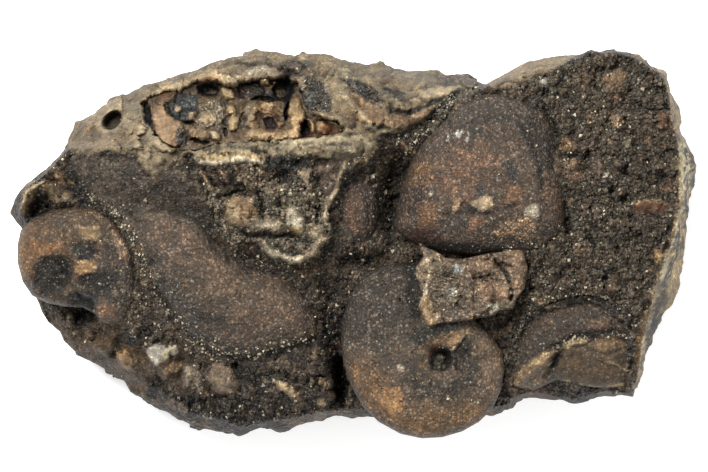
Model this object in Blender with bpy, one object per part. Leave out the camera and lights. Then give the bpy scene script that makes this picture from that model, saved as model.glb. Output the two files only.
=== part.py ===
"""Ammonite fossil plate: a hand-sized block of dark, gritty rock with six smooth ammonites set in
its front face, a scrap of shell lying over two of them, and an open hollow in its broken top edge.

The plate lies on its back. Its front face looks up (+Z), its long side runs along X, and the origin
is on the flat resting face, under the middle of the block. Every length in this file is in
millimetres until the meshes are made, which multiplies it by MM.
"""

import math

import bmesh
import bpy
import numpy as np
from mathutils import Euler, Matrix, Vector, noise

MM = 0.001
SHARP_ANGLE = math.radians(40.0)

# Driving dimensions, in millimetres.
FRONT_COLUMNS = 36          # cells of the front face along X
FRONT_ROWS = 20             # cells of the front face along Y
SPOT_ROUNDING = 3.0         # how softly the front face passes through its spot heights
EDGE_CURVE = 0.8            # under 1, the broken edges bulge outwards
ROCK_ROUGHNESS = 0.55       # height of the lumps on the rock
ROCK_LUMP = 6.0             # distance between those lumps
BED_GAP = 0.35              # clearance between a fossil and the rock that it lies in
BACK_BULGE = 0.6            # height of the lumps on the back

# The block's outline as seen from above, clockwise from its left tip: x, y.
PLATE_OUTLINE = [
    (-60.5, 5.5), (-60.0, 8.0), (-59.0, 9.3), (-56.5, 11.3), (-53.0, 14.0), (-51.5, 15.5),
    (-50.8, 17.5), (-49.2, 19.8), (-48.8, 21.3), (-45.5, 23.0), (-43.0, 25.3), (-40.0, 26.3),
    (-36.0, 28.0), (-33.0, 29.2), (-30.0, 29.9), (-26.5, 31.1), (-22.5, 32.6), (-19.5, 32.9),
    (-17.2, 34.0), (-14.0, 33.5), (-10.5, 33.1), (-7.0, 33.4), (-4.5, 33.0), (-1.5, 32.5),
    (0.5, 31.5), (2.5, 31.2), (5.0, 31.5), (7.0, 31.0), (10.0, 30.2), (13.5, 30.3),
    (17.0, 29.6), (19.5, 29.5), (21.5, 28.6), (23.3, 27.9), (25.5, 29.0), (28.5, 30.8),
    (31.0, 31.9), (36.0, 32.8), (40.0, 33.2), (41.8, 34.1), (43.0, 33.7), (45.5, 34.0),
    (49.5, 33.0), (51.5, 32.0), (53.0, 30.6), (54.8, 30.1), (55.6, 27.5), (56.8, 25.0),
    (57.7, 21.5), (57.8, 20.0), (59.2, 17.2), (60.0, 15.5), (60.3, 13.5), (59.9, 9.5),
    (59.0, 6.5), (58.4, 3.5), (58.8, -1.0), (57.6, -5.0), (57.0, -8.0), (55.5, -12.0),
    (53.3, -15.5), (51.8, -20.0), (50.8, -23.0), (50.0, -25.5), (49.2, -27.2), (47.5, -26.8),
    (44.0, -27.0), (41.0, -28.2), (38.8, -28.6), (37.0, -27.9), (33.0, -27.7), (30.0, -27.5),
    (28.0, -28.8), (25.5, -30.3), (22.0, -30.6), (16.0, -30.2), (9.0, -30.6), (2.5, -30.6),
    (-0.5, -31.0), (-2.0, -30.8), (-5.5, -31.0), (-8.5, -31.9), (-12.0, -33.0), (-15.0, -32.4),
    (-18.0, -33.6), (-20.5, -34.3), (-22.5, -33.5), (-25.0, -33.4), (-29.0, -32.6), (-31.5, -30.8),
    (-35.0, -29.0), (-39.5, -26.4), (-40.2, -24.5), (-42.0, -24.0), (-44.5, -22.0), (-48.5, -20.0),
    (-51.3, -17.3), (-52.0, -15.7), (-54.0, -14.0), (-55.2, -12.0), (-55.6, -10.2), (-56.4, -7.0),
    (-57.0, -3.0), (-57.2, 0.5), (-58.4, 2.3), (-59.8, 3.8),
]

# Inside this line lies the front face; between it and the outline the broken edges fall away.
FRONT_EDGE = [
    (-58.5, 5.5), (-57.5, 9.0), (-54.0, 12.0), (-51.0, 15.3), (-49.5, 16.6), (-46.0, 16.2),
    (-41.0, 16.6), (-37.0, 17.0), (-33.0, 15.8), (-30.0, 15.2), (-26.0, 15.8), (-20.0, 16.6),
    (-14.0, 17.2), (-5.0, 17.6), (2.0, 18.0), (5.0, 19.0), (9.0, 20.6), (14.0, 23.0),
    (19.0, 25.4), (23.0, 27.0), (26.0, 28.0), (30.0, 29.2), (34.0, 30.2), (38.0, 31.8),
    (41.0, 33.2), (46.0, 33.2), (50.0, 31.8), (53.0, 29.8), (54.6, 28.0), (55.0, 25.0),
    (56.0, 20.0), (57.0, 15.0), (57.3, 10.0), (57.0, 5.0), (56.0, 1.5), (54.5, -3.0),
    (53.0, -7.0), (51.5, -12.0), (50.5, -18.0), (49.6, -24.0), (48.4, -26.4), (44.0, -26.0),
    (38.8, -27.4), (33.0, -26.6), (30.0, -26.4), (26.0, -28.6), (22.0, -29.5), (10.0, -29.5),
    (2.0, -29.2), (-5.0, -29.4), (-12.0, -31.0), (-20.0, -32.0), (-27.0, -30.0), (-34.0, -26.0),
    (-38.0, -23.0), (-42.0, -20.5), (-47.0, -17.5), (-50.0, -14.5), (-53.0, -11.5), (-55.6, -7.0),
    (-56.2, -2.0), (-56.6, 2.0),
]

# Height of the block's widest line above the resting face: degrees round the block, height.
WAIST_HEIGHTS = [
    (-180, 15), (-165, 13), (-150, 12), (-125, 13), (-95, 13), (-65, 14), (-45, 15), (-28, 16),
    (0, 14), (13, 14), (28, 20), (37, 24), (50, 25), (60, 21), (85, 20), (118, 20), (140, 18),
    (158, 18), (172, 16), (180, 15),
]

# Spot heights of the front face, fossils lifted out: x, y, height.
SPOT_HEIGHTS = [
    (-58, 6, 21), (-54, 9, 24), (-50, 13, 28), (-48, 4, 22), (-55, -3, 18), (-50, -10, 17),
    (-45, -12, 19), (-52, -15, 16), (-45, -19, 17), (-40, -22, 17), (-39, -14, 23), (-37, -6, 26),
    (-39, 2, 26.5), (-42, 8, 29), (-45, 14, 31.5), (-35, 14, 33), (-30, 10, 32), (-35, 7, 30),
    (-26, 8, 31), (-33, 0, 28), (-22, -8, 28), (-12, -13, 27), (-30, -16, 25), (-22, -21, 24.5),
    (-35, -18, 22), (-30, -24, 20.5), (-22, -26, 22.5), (-15, -24, 24.5), (-15, -30, 20),
    (-8, -20, 26), (-5, -26, 24), (-6, -14, 25.5), (-3, -8, 25), (-1.5, -20, 22), (-1, -27, 20),
    (-20, 10, 32), (-10, 10, 32), (-20, 3, 30.5), (-10, 1, 30), (-25, 13, 33), (-14, -1, 29.5),
    (1, 5, 27), (6, 5, 24.5), (6, 12, 26), (4, 15, 30), (9, 18, 31), (3, -3, 26.5),
    (8, -15, 25), (15, -25, 24), (20, 10, 29), (24, -6, 30.5), (32, -5, 32.5), (40, 28, 33),
    (48, 30, 31.5), (40, 15, 36), (50, 15, 34), (55, 10, 32), (45, 0, 35.5), (53, 0, 32.5),
    (38, 5, 35.5), (45, 22, 34.5), (53, 22, 32), (35, -6, 33.5), (45, -6, 34), (51, -8, 32),
    (32, -15, 28), (40, -13, 30), (48, -14, 31), (40, -20, 28), (48, -22, 28), (45, -26.5, 24),
    (35, -26, 23), (30, -24, 25), (27, -18, 26.5), (-10, 17, 36), (0, 17.5, 35.5), (10, 21, 34),
    (18, 25, 32), (28, 28.5, 31.5), (34, 30, 31), (-20, 16, 35.5), (-30, 15.5, 34.5),
    (-40, 16.5, 33), (-49, 16.5, 29),
]

# The gritty knob of shell rubble that stands on the middle of the front face. Its crown and keel
# are heights over and under that face.
KNOB = {
    "centre": (-14.0, 9.0),
    "outline": [
        (-28.0, 14.5), (-27.2, 11.0), (-25.6, 9.5), (-24.8, 6.0), (-24.0, 2.0), (-21.5, -1.0),
        (-19.5, -3.2), (-16.5, -2.0), (-13.5, -3.2), (-9.5, -3.8), (-6.3, -2.2), (-3.8, 1.5),
        (-4.3, 5.5), (-2.5, 9.0), (0.5, 13.0), (4.4, 15.5), (4.4, 17.4), (-5.0, 17.4),
        (-14.0, 17.0), (-22.0, 16.2), (-27.0, 15.8),
    ],
    "crown": 2.8, "keel": 3.0, "fullness": 5.0, "segments": 32, "rings": 8,
}
KNOB_ROUGHNESS = 1.1         # height of the lumps on the knob
KNOB_LUMP = 4.2              # distance between them

# The hollow in the broken upper edge: its keel is its depth under the face that it opens in.
HOLLOW = {
    "centre": (-20.0, 22.6),
    "outline": [
        (-37.3, 24.8), (-36.8, 22.0), (-35.4, 19.6), (-33.2, 17.6), (-30.5, 16.2), (-27.5, 16.2),
        (-24.0, 17.4), (-19.0, 17.6), (-13.0, 17.9), (-8.0, 18.2), (-3.0, 18.7), (-1.6, 19.8),
        (-3.5, 21.4), (-7.2, 22.3), (-8.6, 25.0), (-9.6, 27.8), (-12.0, 29.4), (-15.0, 28.8),
        (-18.5, 28.6), (-22.0, 27.6), (-25.5, 28.8), (-28.5, 28.0), (-30.5, 26.6), (-33.0, 26.6),
    ],
    "crown": 9.0, "keel": 8.0, "fullness": 5.0, "segments": 32, "rings": 8,
}

# The crust of shell chips and crystals on the hollow's floor fills this share of the hollow's
# width. The heights are from the hollow's floor to the crust's edge, top and underside.
CRUST_SHARE = 0.84
CRUST_EDGE = 1.7
CRUST_RISE = 1.7
CRUST_ROOT = 3.0
CRUST_LUMP = 3.0

# The narrow hole to the left of the hollow.
BORE_PLACE = (-42.8, 22.0)
BORE_RADIUS = 1.6
BORE_LENGTH = 9.0
BORE_LEAN = -25.0            # degrees from upright, towards the hollow

# Soft ridges and lumps of the rock: x, y, radius along X, radius along Y, turn in degrees, height.
ROCK_LUMPS = [
    (-43.0, -13.0, 3.6, 3.0, -30, 1.5),
    (-57.0, 8.0, 2.2, 3.4, -30, 2.2),
    (-52.5, 10.5, 1.8, 3.2, 25, 1.4),
    (2.5, 24.0, 2.2, 6.5, 40, 1.4),
    (-3.0, 27.5, 2.2, 5.0, 55, 1.2),
    (12.0, 26.5, 5.5, 2.0, 12, 1.2),
    (38.5, 13.0, 3.4, 3.0, -20, 1.0),
]

# Chips, pebbles and crystals that stand out of the rock, each a rough many-sided stone:
# x, y, height of its middle over the face, half its length, width and height, turn and lean.
ROCK_CHIPS = [
    (-34.2, -19.2, 0.6, 2.5, 1.5, 1.4, -30, 18),
    (-28.6, -23.4, 0.4, 2.6, 1.6, 1.4, -42, 12),
    (-22.8, -23.8, 0.9, 3.2, 2.4, 2.2, 70, 10),
    (-12.0, -25.8, 0.3, 2.5, 1.2, 1.1, -30, 0),
    (-40.6, -19.8, 0.4, 2.2, 1.7, 1.4, 60, 10),
    (-5.4, -28.2, 0.2, 1.4, 1.1, 1.0, 0, 0),
    (-19.8, 5.9, 2.9, 2.7, 2.3, 1.2, 10, 6),
    (-10.6, 3.4, 2.6, 4.0, 1.6, 1.2, -14, 0),
    (-8.4, 11.6, 2.8, 1.3, 1.9, 0.9, 0, 0),
    (46.0, 28.0, 0.2, 2.8, 2.6, 1.2, 35, 0),
    (46.2, 21.5, 0.1, 1.9, 1.6, 1.0, 0, 0),
    (47.6, 17.2, 0.3, 1.3, 1.2, 1.0, 20, 0),
    (51.5, 6.2, 0.1, 3.5, 1.4, 1.1, -5, 0),
    (38.4, 12.4, 0.5, 2.6, 1.9, 1.1, -20, 8),
    (36.8, 17.2, 0.1, 1.7, 1.3, 1.1, 10, 0),
    (24.5, 27.2, -0.2, 1.9, 1.3, 1.1, 15, 0),
]

# Pits and cracks in the rock, given in the same way, with a depth.
ROCK_PITS = [
    (-1.6, -25.0, 2.0, 5.5, 8, 8.0),
    (-46.8, -11.0, 1.8, 2.2, 20, 3.0),
    (-20.4, -21.0, 1.3, 1.0, 0, 2.2),
    (6.3, 6.0, 1.6, 8.5, -10, 3.0),
    (36.4, 20.0, 1.2, 3.8, 15, 2.8),
    (37.6, 4.0, 1.0, 3.4, 5, 2.0),
    (-56.0, 6.2, 2.2, 2.2, 0, 1.6),
    (-46.8, 19.6, 2.8, 1.3, 0, 1.4),
    (46.7, 7.8, 1.4, 0.9, 35, 1.8),
]

# The back, as rings drawn one from the other: share of the reach and of the height of the ring above.
BACK_RINGS = [(1.0, 0.62), (0.94, 0.48), (0.82, 0.0)]

# Where the lower right ammonite is broken: inside this line its inner whorls are gone, and the
# brown stone that filled them lies lower.
BROKEN_WHORL = [
    (35.2, -19.0), (37.0, -17.5), (39.0, -16.8), (43.0, -16.4), (47.0, -16.6), (50.6, -17.6),
    (50.6, -27.5), (29.0, -27.5), (30.0, -24.2), (33.8, -21.0),
]
BROKEN_DROP = 2.4
BROKEN_EDGE = 1.0

# One fossil each. height is its middle plane, tilt its rise per millimetre along X and Y, crown and
# keel its bulge above and below that plane. navel is the pit at its centre, as radius and depth.
# fullness is 2 on a round rim, and more on a flatter face.
FOSSILS = {
    "ammonite_lower_middle": {
        "centre": (15.3, -20.0),
        "outline": [
            (-2.2, -17.5), (-1.9, -13.0), (-0.4, -9.0), (1.6, -5.6), (5.0, -4.0), (9.0, -3.4),
            (13.5, -3.6), (17.5, -6.5), (19.4, -11.0), (21.6, -13.9), (24.2, -16.2), (26.0, -19.0),
            (26.5, -22.0), (25.9, -25.5), (24.4, -29.0), (22.0, -31.3), (19.0, -33.0),
            (15.5, -34.0), (12.0, -34.2), (8.2, -33.4), (4.4, -31.3), (1.6, -28.6), (-0.4, -25.0),
            (-1.7, -21.3),
        ],
        "height": 28.0, "tilt": (-0.05, -0.02), "crown": 6.6, "keel": 5.0, "fullness": 3.2,
        "navel": (3.4, 3.6), "segments": 34, "rings": 12,
    },
    "ammonite_upper_middle": {
        "centre": (22.5, 11.0),
        "outline": [
            (7.6, 2.0), (7.4, 5.5), (8.6, 9.5), (9.8, 13.5), (11.9, 17.5), (14.6, 21.0),
            (17.4, 24.0), (20.2, 25.8), (23.2, 26.5), (26.2, 26.2), (29.2, 25.2), (32.0, 23.4),
            (34.2, 20.8), (35.5, 17.5), (36.0, 13.5), (36.8, 9.0), (37.0, 4.5), (36.0, 1.0),
            (33.0, -1.2), (28.0, -1.9), (21.0, -2.2), (14.5, -1.4), (10.0, 0.2),
        ],
        "height": 31.0, "tilt": (0.12, -0.03), "crown": 9.4, "keel": 6.0, "fullness": 2.3,
        "navel": None, "segments": 30, "rings": 12,
    },
    "ammonite_left": {
        "centre": (-51.5, -5.2),
        "outline": [
            (-58.6, 2.2), (-56.4, 4.4), (-52.5, 6.0), (-48.5, 6.6), (-45.0, 6.1), (-42.2, 4.4),
            (-40.1, 1.4), (-38.6, -2.0), (-38.0, -6.0), (-38.3, -10.0), (-40.2, -13.6),
            (-43.4, -14.4), (-45.6, -12.4), (-47.6, -11.4), (-51.0, -11.2), (-54.0, -10.6),
            (-56.6, -9.3), (-58.3, -6.8), (-59.2, -3.4), (-59.2, -0.4),
        ],
        "height": 20.0, "tilt": (0.16, 0.08), "crown": 6.6, "keel": 4.5, "fullness": 2.5,
        "navel": (4.3, 1.9), "segments": 28, "rings": 12,
    },
    "ammonite_middle_left": {
        "centre": (-22.0, -9.0),
        "outline": [
            (-38.8, 1.6), (-37.2, 5.0), (-33.5, 6.0), (-29.5, 5.0), (-26.6, 3.0), (-24.6, 0.4),
            (-21.6, -2.2), (-18.0, -4.6), (-13.4, -5.6), (-10.6, -7.6), (-8.2, -9.8), (-6.6, -12.6),
            (-6.4, -15.4), (-8.2, -17.2), (-12.0, -18.2), (-16.0, -19.4), (-20.0, -20.2),
            (-24.2, -19.2), (-27.4, -17.4), (-30.2, -14.2), (-32.4, -11.0), (-34.6, -7.6),
            (-37.0, -3.6),
        ],
        "height": 26.5, "tilt": (-0.05, 0.07), "crown": 5.6, "keel": 4.0, "fullness": 2.1,
        "navel": None, "segments": 30, "rings": 10,
    },
    "ammonite_lower_right": {
        "centre": (39.0, -18.5),
        "outline": [
            (27.6, -25.2), (27.8, -21.0), (28.6, -17.4), (30.2, -14.0), (32.8, -11.0),
            (36.2, -9.6), (40.0, -8.9), (43.4, -9.4), (46.0, -11.2), (48.0, -13.4), (49.4, -15.6),
            (49.0, -19.0), (48.6, -23.2), (47.4, -25.2), (43.6, -25.4), (40.0, -25.0),
            (35.6, -24.0), (31.4, -26.0),
        ],
        "height": 27.0, "tilt": (0.06, 0.10), "crown": 5.6, "keel": 4.0, "fullness": 2.6,
        "navel": None, "segments": 28, "rings": 10, "broken": BROKEN_WHORL,
    },
    "ammonite_small": {
        "centre": (1.2, 5.6),
        "outline": [
            (-2.6, 3.4), (-2.9, 7.6), (-1.8, 10.8), (0.4, 12.4), (2.8, 11.8), (4.3, 9.0),
            (4.6, 5.4), (3.9, 2.0), (2.0, -0.6), (-0.4, -0.2),
        ],
        "height": 26.5, "tilt": (-0.10, 0.05), "crown": 4.6, "keel": 3.0, "fullness": 2.0,
        "navel": None, "segments": 18, "rings": 8,
    },
}

# The scrap of shell over the two middle ammonites.
SHELL_SCRAP = {
    "centre": (20.5, -7.0),
    "outline": [
        (11.2, 0.2), (13.0, -0.9), (14.7, -1.6), (16.0, -2.6), (19.0, -2.8), (23.5, -1.8),
        (26.0, -1.5), (28.0, -0.3), (29.6, -0.1), (29.8, -2.0), (30.4, -4.5), (29.8, -8.0),
        (28.5, -9.5), (27.8, -11.5), (25.2, -11.8), (24.8, -12.5), (20.0, -13.5), (17.5, -13.8),
        (15.0, -14.0), (13.0, -14.6), (12.0, -13.0), (11.3, -11.0), (12.0, -9.0), (10.8, -5.5),
        (11.0, -4.0), (12.2, -2.4),
    ],
    "height": 33.6, "tilt": (-0.02, 0.03), "crown": 2.4, "keel": 6.0, "fullness": 9.0,
    "navel": None, "segments": 28, "rings": 6,
}

# Colour and roughness of each kind of piece.
ROCK = ((0.050, 0.040, 0.033), 0.85)
SHELL = ((0.125, 0.080, 0.055), 0.62)
SCRAP = ((0.270, 0.200, 0.145), 0.70)
CRUST = ((0.330, 0.235, 0.150), 0.65)


def distance_to(path, x, y, closed=True):
    """Distance from each point to a path of straight stretches."""
    corners = np.array(path, float)
    ends = np.roll(corners, -1, axis=0) if closed else corners[1:]
    starts = corners if closed else corners[:-1]
    nearest = np.full(x.shape, np.inf)
    for (ax, ay), (bx, by) in zip(starts, ends):
        dx, dy = bx - ax, by - ay
        along = np.clip(((x - ax) * dx + (y - ay) * dy) / (dx * dx + dy * dy), 0.0, 1.0)
        nearest = np.minimum(nearest, np.hypot(x - ax - along * dx, y - ay - along * dy))
    return nearest


def is_inside(path, x, y):
    """Whether each point lies inside a closed path."""
    corners = np.array(path, float)
    crossings = np.zeros(x.shape, int)
    for (ax, ay), (bx, by) in zip(corners, np.roll(corners, -1, axis=0)):
        if ay == by:
            continue
        spans = (ay > y) != (by > y)
        crossings += spans & (x < (bx - ax) * (y - ay) / (by - ay) + ax)
    return crossings % 2 == 1


def depth_inside(path, x, y):
    """Distance to a closed path, positive inside it and negative outside."""
    return np.where(is_inside(path, x, y), 1.0, -1.0) * distance_to(path, x, y)


def reach(path, centre, angles):
    """Distance from centre to a closed path in each direction."""
    corners = np.array(path, float) - np.array(centre, float)
    found = np.zeros(angles.shape)
    ray_x, ray_y = np.cos(angles), np.sin(angles)
    for (ax, ay), (bx, by) in zip(corners, np.roll(corners, -1, axis=0)):
        dx, dy = bx - ax, by - ay
        turn = ray_x * dy - ray_y * dx
        turn = np.where(np.abs(turn) < 1e-12, 1e-12, turn)
        far = (ax * dy - ay * dx) / turn
        along = (ax * ray_y - ay * ray_x) / turn
        hit = (along > -1e-9) & (along < 1.0 + 1e-9) & (far > 0.0)
        found = np.where(hit, np.maximum(found, far), found)
    return found


def smooth_step(low, high, value):
    share = np.clip((value - low) / (high - low), 0.0, 1.0)
    return share * share * (3.0 - 2.0 * share)


def lumpiness(x, y, spacing, level=0.0):
    """Smooth random relief, from about -1 to 1, with lumps this far apart."""
    return np.array([
        noise.noise(Vector((px / spacing, py / spacing, level)), noise_basis="PERLIN_ORIGINAL")
        for px, py in zip(x, y)
    ])


def spot_surface(x, y):
    """The smooth surface through the spot heights."""
    spots = np.array(SPOT_HEIGHTS, float)

    def kernel(ax, ay):
        apart = (ax[:, None] - spots[:, 0]) ** 2 + (ay[:, None] - spots[:, 1]) ** 2
        return np.sqrt(apart + SPOT_ROUNDING ** 2)

    weights = np.linalg.solve(kernel(spots[:, 0], spots[:, 1]), spots[:, 2])
    return kernel(x, y) @ weights


def dome(x, y, place):
    """0 outside an oval and 1 at its middle."""
    cx, cy, along, across, turn, _ = place
    angle = math.radians(turn)
    u = ((x - cx) * math.cos(angle) + (y - cy) * math.sin(angle)) / along
    v = ((y - cy) * math.cos(angle) - (x - cx) * math.sin(angle)) / across
    return np.clip(1.0 - u * u - v * v, 0.0, 1.0)


def waist_height(x, y):
    degrees, heights = zip(*WAIST_HEIGHTS)
    return np.interp(np.degrees(np.arctan2(y, x)), degrees, heights)


def face_height(x, y):
    """Height of the rock's front over the resting face, with nothing cut from it or laid on it."""
    from_outline = distance_to(PLATE_OUTLINE, x, y)
    from_face = np.where(is_inside(FRONT_EDGE, x, y), 0.0, distance_to(FRONT_EDGE, x, y))
    share = from_outline / np.maximum(from_outline + from_face, 1e-6)
    waist = waist_height(x, y)
    height = waist + (spot_surface(x, y) - waist) * share ** EDGE_CURVE
    for lump in ROCK_LUMPS:
        height += lump[5] * np.sqrt(dome(x, y, lump))
    for pit in ROCK_PITS:
        height -= pit[5] * smooth_step(0.0, 1.0, dome(x, y, pit))
    return height + ROCK_ROUGHNESS * lumpiness(x, y, ROCK_LUMP) * share


def new_collection(name):
    made = bpy.data.collections.new(name)
    bpy.context.scene.collection.children.link(made)
    return made


def new_material(name, colour, roughness):
    made = bpy.data.materials.new(name)
    made.use_nodes = True
    shader = made.node_tree.nodes["Principled BSDF"]
    shader.inputs["Base Color"].default_value = (*colour, 1.0)
    shader.inputs["Roughness"].default_value = roughness
    return made


def new_object(name, shape, collection, place, look=None):
    """The object that holds a bmesh, turned from millimetres to metres, with its origin at place."""
    bmesh.ops.recalc_face_normals(shape, faces=shape.faces)
    bmesh.ops.translate(shape, vec=-Vector(place), verts=shape.verts)
    bmesh.ops.scale(shape, vec=(MM, MM, MM), verts=shape.verts)
    mesh = bpy.data.meshes.new(name)
    shape.to_mesh(mesh)
    shape.free()
    mesh.shade_smooth()
    mesh.set_sharp_from_angle(angle=SHARP_ANGLE)
    if look:
        mesh.materials.append(new_material(name + "_stone", *look))
    made = bpy.data.objects.new(name, mesh)
    made.location = Vector(place) * MM
    collection.objects.link(made)
    return made


def hide_helper(helper):
    helper.hide_render = True
    helper.display_type = "WIRE"
    return helper


def new_helper(name, shape, collection, place):
    """A shape that is only cut from the rock or joined to it."""
    return hide_helper(new_object(name, shape, collection, place))


def move_vertices(shape, x, y, z):
    for vertex, place in zip(shape.verts, zip(x, y, z)):
        vertex.co = place


def rock_block():
    """A grid stretched to the outline as the front, with its rim drawn down to the flat rest face."""
    half_x = max(abs(x) for x, _ in PLATE_OUTLINE)
    half_y = max(abs(y) for _, y in PLATE_OUTLINE)
    block = bmesh.new()
    bmesh.ops.create_grid(block, x_segments=FRONT_COLUMNS, y_segments=FRONT_ROWS, size=1.0)
    grid = np.array([vertex.co.xy for vertex in block.verts])
    angles = np.arctan2(grid[:, 1] * half_y, grid[:, 0] * half_x)
    out = np.abs(grid).max(axis=1) * reach(PLATE_OUTLINE, (0.0, 0.0), angles)
    x = out * np.cos(angles)
    y = out * np.sin(angles)
    move_vertices(block, x, y, face_height(x, y))
    rim = [edge for edge in block.edges if edge.is_boundary]
    for level, (inset, drop) in enumerate(BACK_RINGS):
        drawn = bmesh.ops.extrude_edge_only(block, edges=rim)["geom"]
        for vertex in [item for item in drawn if isinstance(item, bmesh.types.BMVert)]:
            bulge = BACK_BULGE * noise.noise(Vector((vertex.co.x, vertex.co.y, level)) / ROCK_LUMP)
            vertex.co.xy *= inset
            vertex.co.xy += vertex.co.xy.normalized() * bulge
            vertex.co.z *= drop
        rim = [item for item in drawn if isinstance(item, bmesh.types.BMEdge)]
    bmesh.ops.holes_fill(block, edges=rim, sides=0)
    return block


def lens(shape):
    """A globe stretched to a fossil's outline: x, y and z of its vertices."""
    globe = bmesh.new()
    bmesh.ops.create_uvsphere(globe, u_segments=shape["segments"], v_segments=shape["rings"], radius=1.0)
    unit = np.array([vertex.co for vertex in globe.verts])
    flat = np.clip(np.hypot(unit[:, 0], unit[:, 1]), 0.0, 1.0)
    angles = np.arctan2(unit[:, 1], unit[:, 0])
    power = 2.0 / shape.get("fullness", 2.0)
    cx, cy = shape["centre"]
    out = flat ** power * reach(shape["outline"], shape["centre"], angles)
    x = cx + out * np.cos(angles)
    y = cy + out * np.sin(angles)
    rise = np.sign(unit[:, 2]) * np.abs(unit[:, 2]) ** power
    return globe, x, y, rise


def fossil_block(shape):
    globe, x, y, rise = lens(shape)
    cx, cy = shape["centre"]
    upper = np.maximum(rise, 0.0)
    z = shape["height"] + shape["tilt"][0] * (x - cx) + shape["tilt"][1] * (y - cy)
    z += shape["crown"] * upper + shape["keel"] * np.minimum(rise, 0.0)
    if shape["navel"]:
        radius, depth = shape["navel"]
        z -= depth * upper * (1.0 - smooth_step(0.0, radius, np.hypot(x - cx, y - cy)))
    if shape.get("broken"):
        gone = smooth_step(-BROKEN_EDGE, BROKEN_EDGE, depth_inside(shape["broken"], x, y))
        z -= BROKEN_DROP * gone * upper
    move_vertices(globe, x, y, z)
    return globe


def knob_block():
    globe, x, y, rise = lens(KNOB)
    crown = KNOB["crown"] + KNOB_ROUGHNESS * lumpiness(x, y, KNOB_LUMP, level=3.0)
    move_vertices(globe, x, y, face_height(x, y) + np.where(rise > 0.0, crown, KNOB["keel"]) * rise)
    return globe


def chip_stones():
    stones = bmesh.new()
    for x, y, height, length, width, thickness, turn, lean in ROCK_CHIPS:
        stone = bmesh.ops.create_icosphere(stones, subdivisions=1, radius=1.0)["verts"]
        face = face_height(np.array([x]), np.array([y]))[0]
        tilt = Euler((math.radians(lean), 0.0, math.radians(turn))).to_matrix()
        bmesh.ops.scale(stones, vec=(length, width, thickness), verts=stone)
        bmesh.ops.rotate(stones, matrix=tilt, verts=stone)
        bmesh.ops.translate(stones, vec=(x, y, face + height), verts=stone)
    return stones


def hollow_block():
    globe, x, y, rise = lens(HOLLOW)
    z = face_height(x, y) + np.where(rise > 0.0, HOLLOW["crown"], HOLLOW["keel"]) * rise
    move_vertices(globe, x, y, z)
    return globe


def bore_block():
    bore = bmesh.new()
    bmesh.ops.create_cone(bore, cap_ends=True, segments=12, radius1=BORE_RADIUS * 0.8,
                          radius2=BORE_RADIUS, depth=BORE_LENGTH)
    bmesh.ops.rotate(bore, matrix=Matrix.Rotation(math.radians(BORE_LEAN), 3, "X"), verts=bore.verts)
    face = face_height(*np.array([BORE_PLACE]).T)[0]
    bmesh.ops.translate(bore, vec=(*BORE_PLACE, face), verts=bore.verts)
    return bore


def crust_block():
    """Stands on the hollow's floor, with its underside sunk in it."""
    globe, x, y, rise = lens(HOLLOW)
    cx, cy = HOLLOW["centre"]
    x = cx + CRUST_SHARE * (x - cx)
    y = cy + CRUST_SHARE * (y - cy)
    edge = face_height(x, y) - HOLLOW["keel"] + CRUST_EDGE
    lumps = CRUST_RISE * (1.0 + 0.5 * lumpiness(x, y, CRUST_LUMP))
    move_vertices(globe, x, y, edge + np.where(rise > 0.0, lumps, CRUST_ROOT) * rise)
    return globe


def bed_cutter(piece, collection):
    """A copy of a piece, grown by the clearance that its bed leaves round it."""
    cutter = hide_helper(bpy.data.objects.new(piece.name + "_bed", piece.data))
    cutter.location = piece.location
    collection.objects.link(cutter)
    growth = cutter.modifiers.new("clearance", "DISPLACE")
    growth.strength = BED_GAP * MM
    growth.mid_level = 0.0
    return cutter


def combine(piece, helper, operation):
    taken = piece.modifiers.new(helper.name, "BOOLEAN")
    taken.operation = operation
    taken.solver = "EXACT"
    taken.object = helper


def new_rock(plate, helpers):
    """The block with its knob and chips joined on, and its hollow and narrow hole cut out."""
    rock = new_object("matrix", rock_block(), plate, (0.0, 0.0, 0.0), ROCK)
    hollow_place = (*HOLLOW["centre"], 0.0)
    bore_place = (*BORE_PLACE, 0.0)
    knob_place = (*KNOB["centre"], 0.0)
    combine(rock, new_helper("knob", knob_block(), helpers, knob_place), "UNION")
    combine(rock, new_helper("chips", chip_stones(), helpers, (0.0, 0.0, 0.0)), "UNION")
    combine(rock, new_helper("hollow", hollow_block(), helpers, hollow_place), "DIFFERENCE")
    combine(rock, new_helper("bore", bore_block(), helpers, bore_place), "DIFFERENCE")
    return rock


def build():
    for item in list(bpy.data.objects):
        bpy.data.objects.remove(item, do_unlink=True)
    plate = new_collection("ammonite_fossil_plate")
    helpers = new_collection("cutters")
    helpers.hide_render = True

    rock = new_rock(plate, helpers)
    pieces = []
    for name, shape in FOSSILS.items():
        place = (*shape["centre"], shape["height"])
        pieces.append(new_object(name, fossil_block(shape), plate, place, SHELL))
    scrap_place = (*SHELL_SCRAP["centre"], SHELL_SCRAP["height"])
    scrap = new_object("shell_scrap", fossil_block(SHELL_SCRAP), plate, scrap_place, SCRAP)
    crust = new_object("hollow_crust", crust_block(), plate, (*HOLLOW["centre"], 0.0), CRUST)
    for piece in [*pieces, scrap, crust]:
        combine(rock, bed_cutter(piece, helpers), "DIFFERENCE")
    for name in ("ammonite_lower_middle", "ammonite_upper_middle"):
        combine(scrap, bpy.data.objects[name + "_bed"], "DIFFERENCE")


build()
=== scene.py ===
"""Looks for the ammonite fossil plate: a fine-grained rock face, six smooth ammonites, a scrap of
shell, the crust in the hollow and loose grit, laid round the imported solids. Lengths are in
millimetres, and MM turns them to metres, apart from the scene's own at the end. Colours in the
tables are sRGB, from 0 to 255."""

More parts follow.
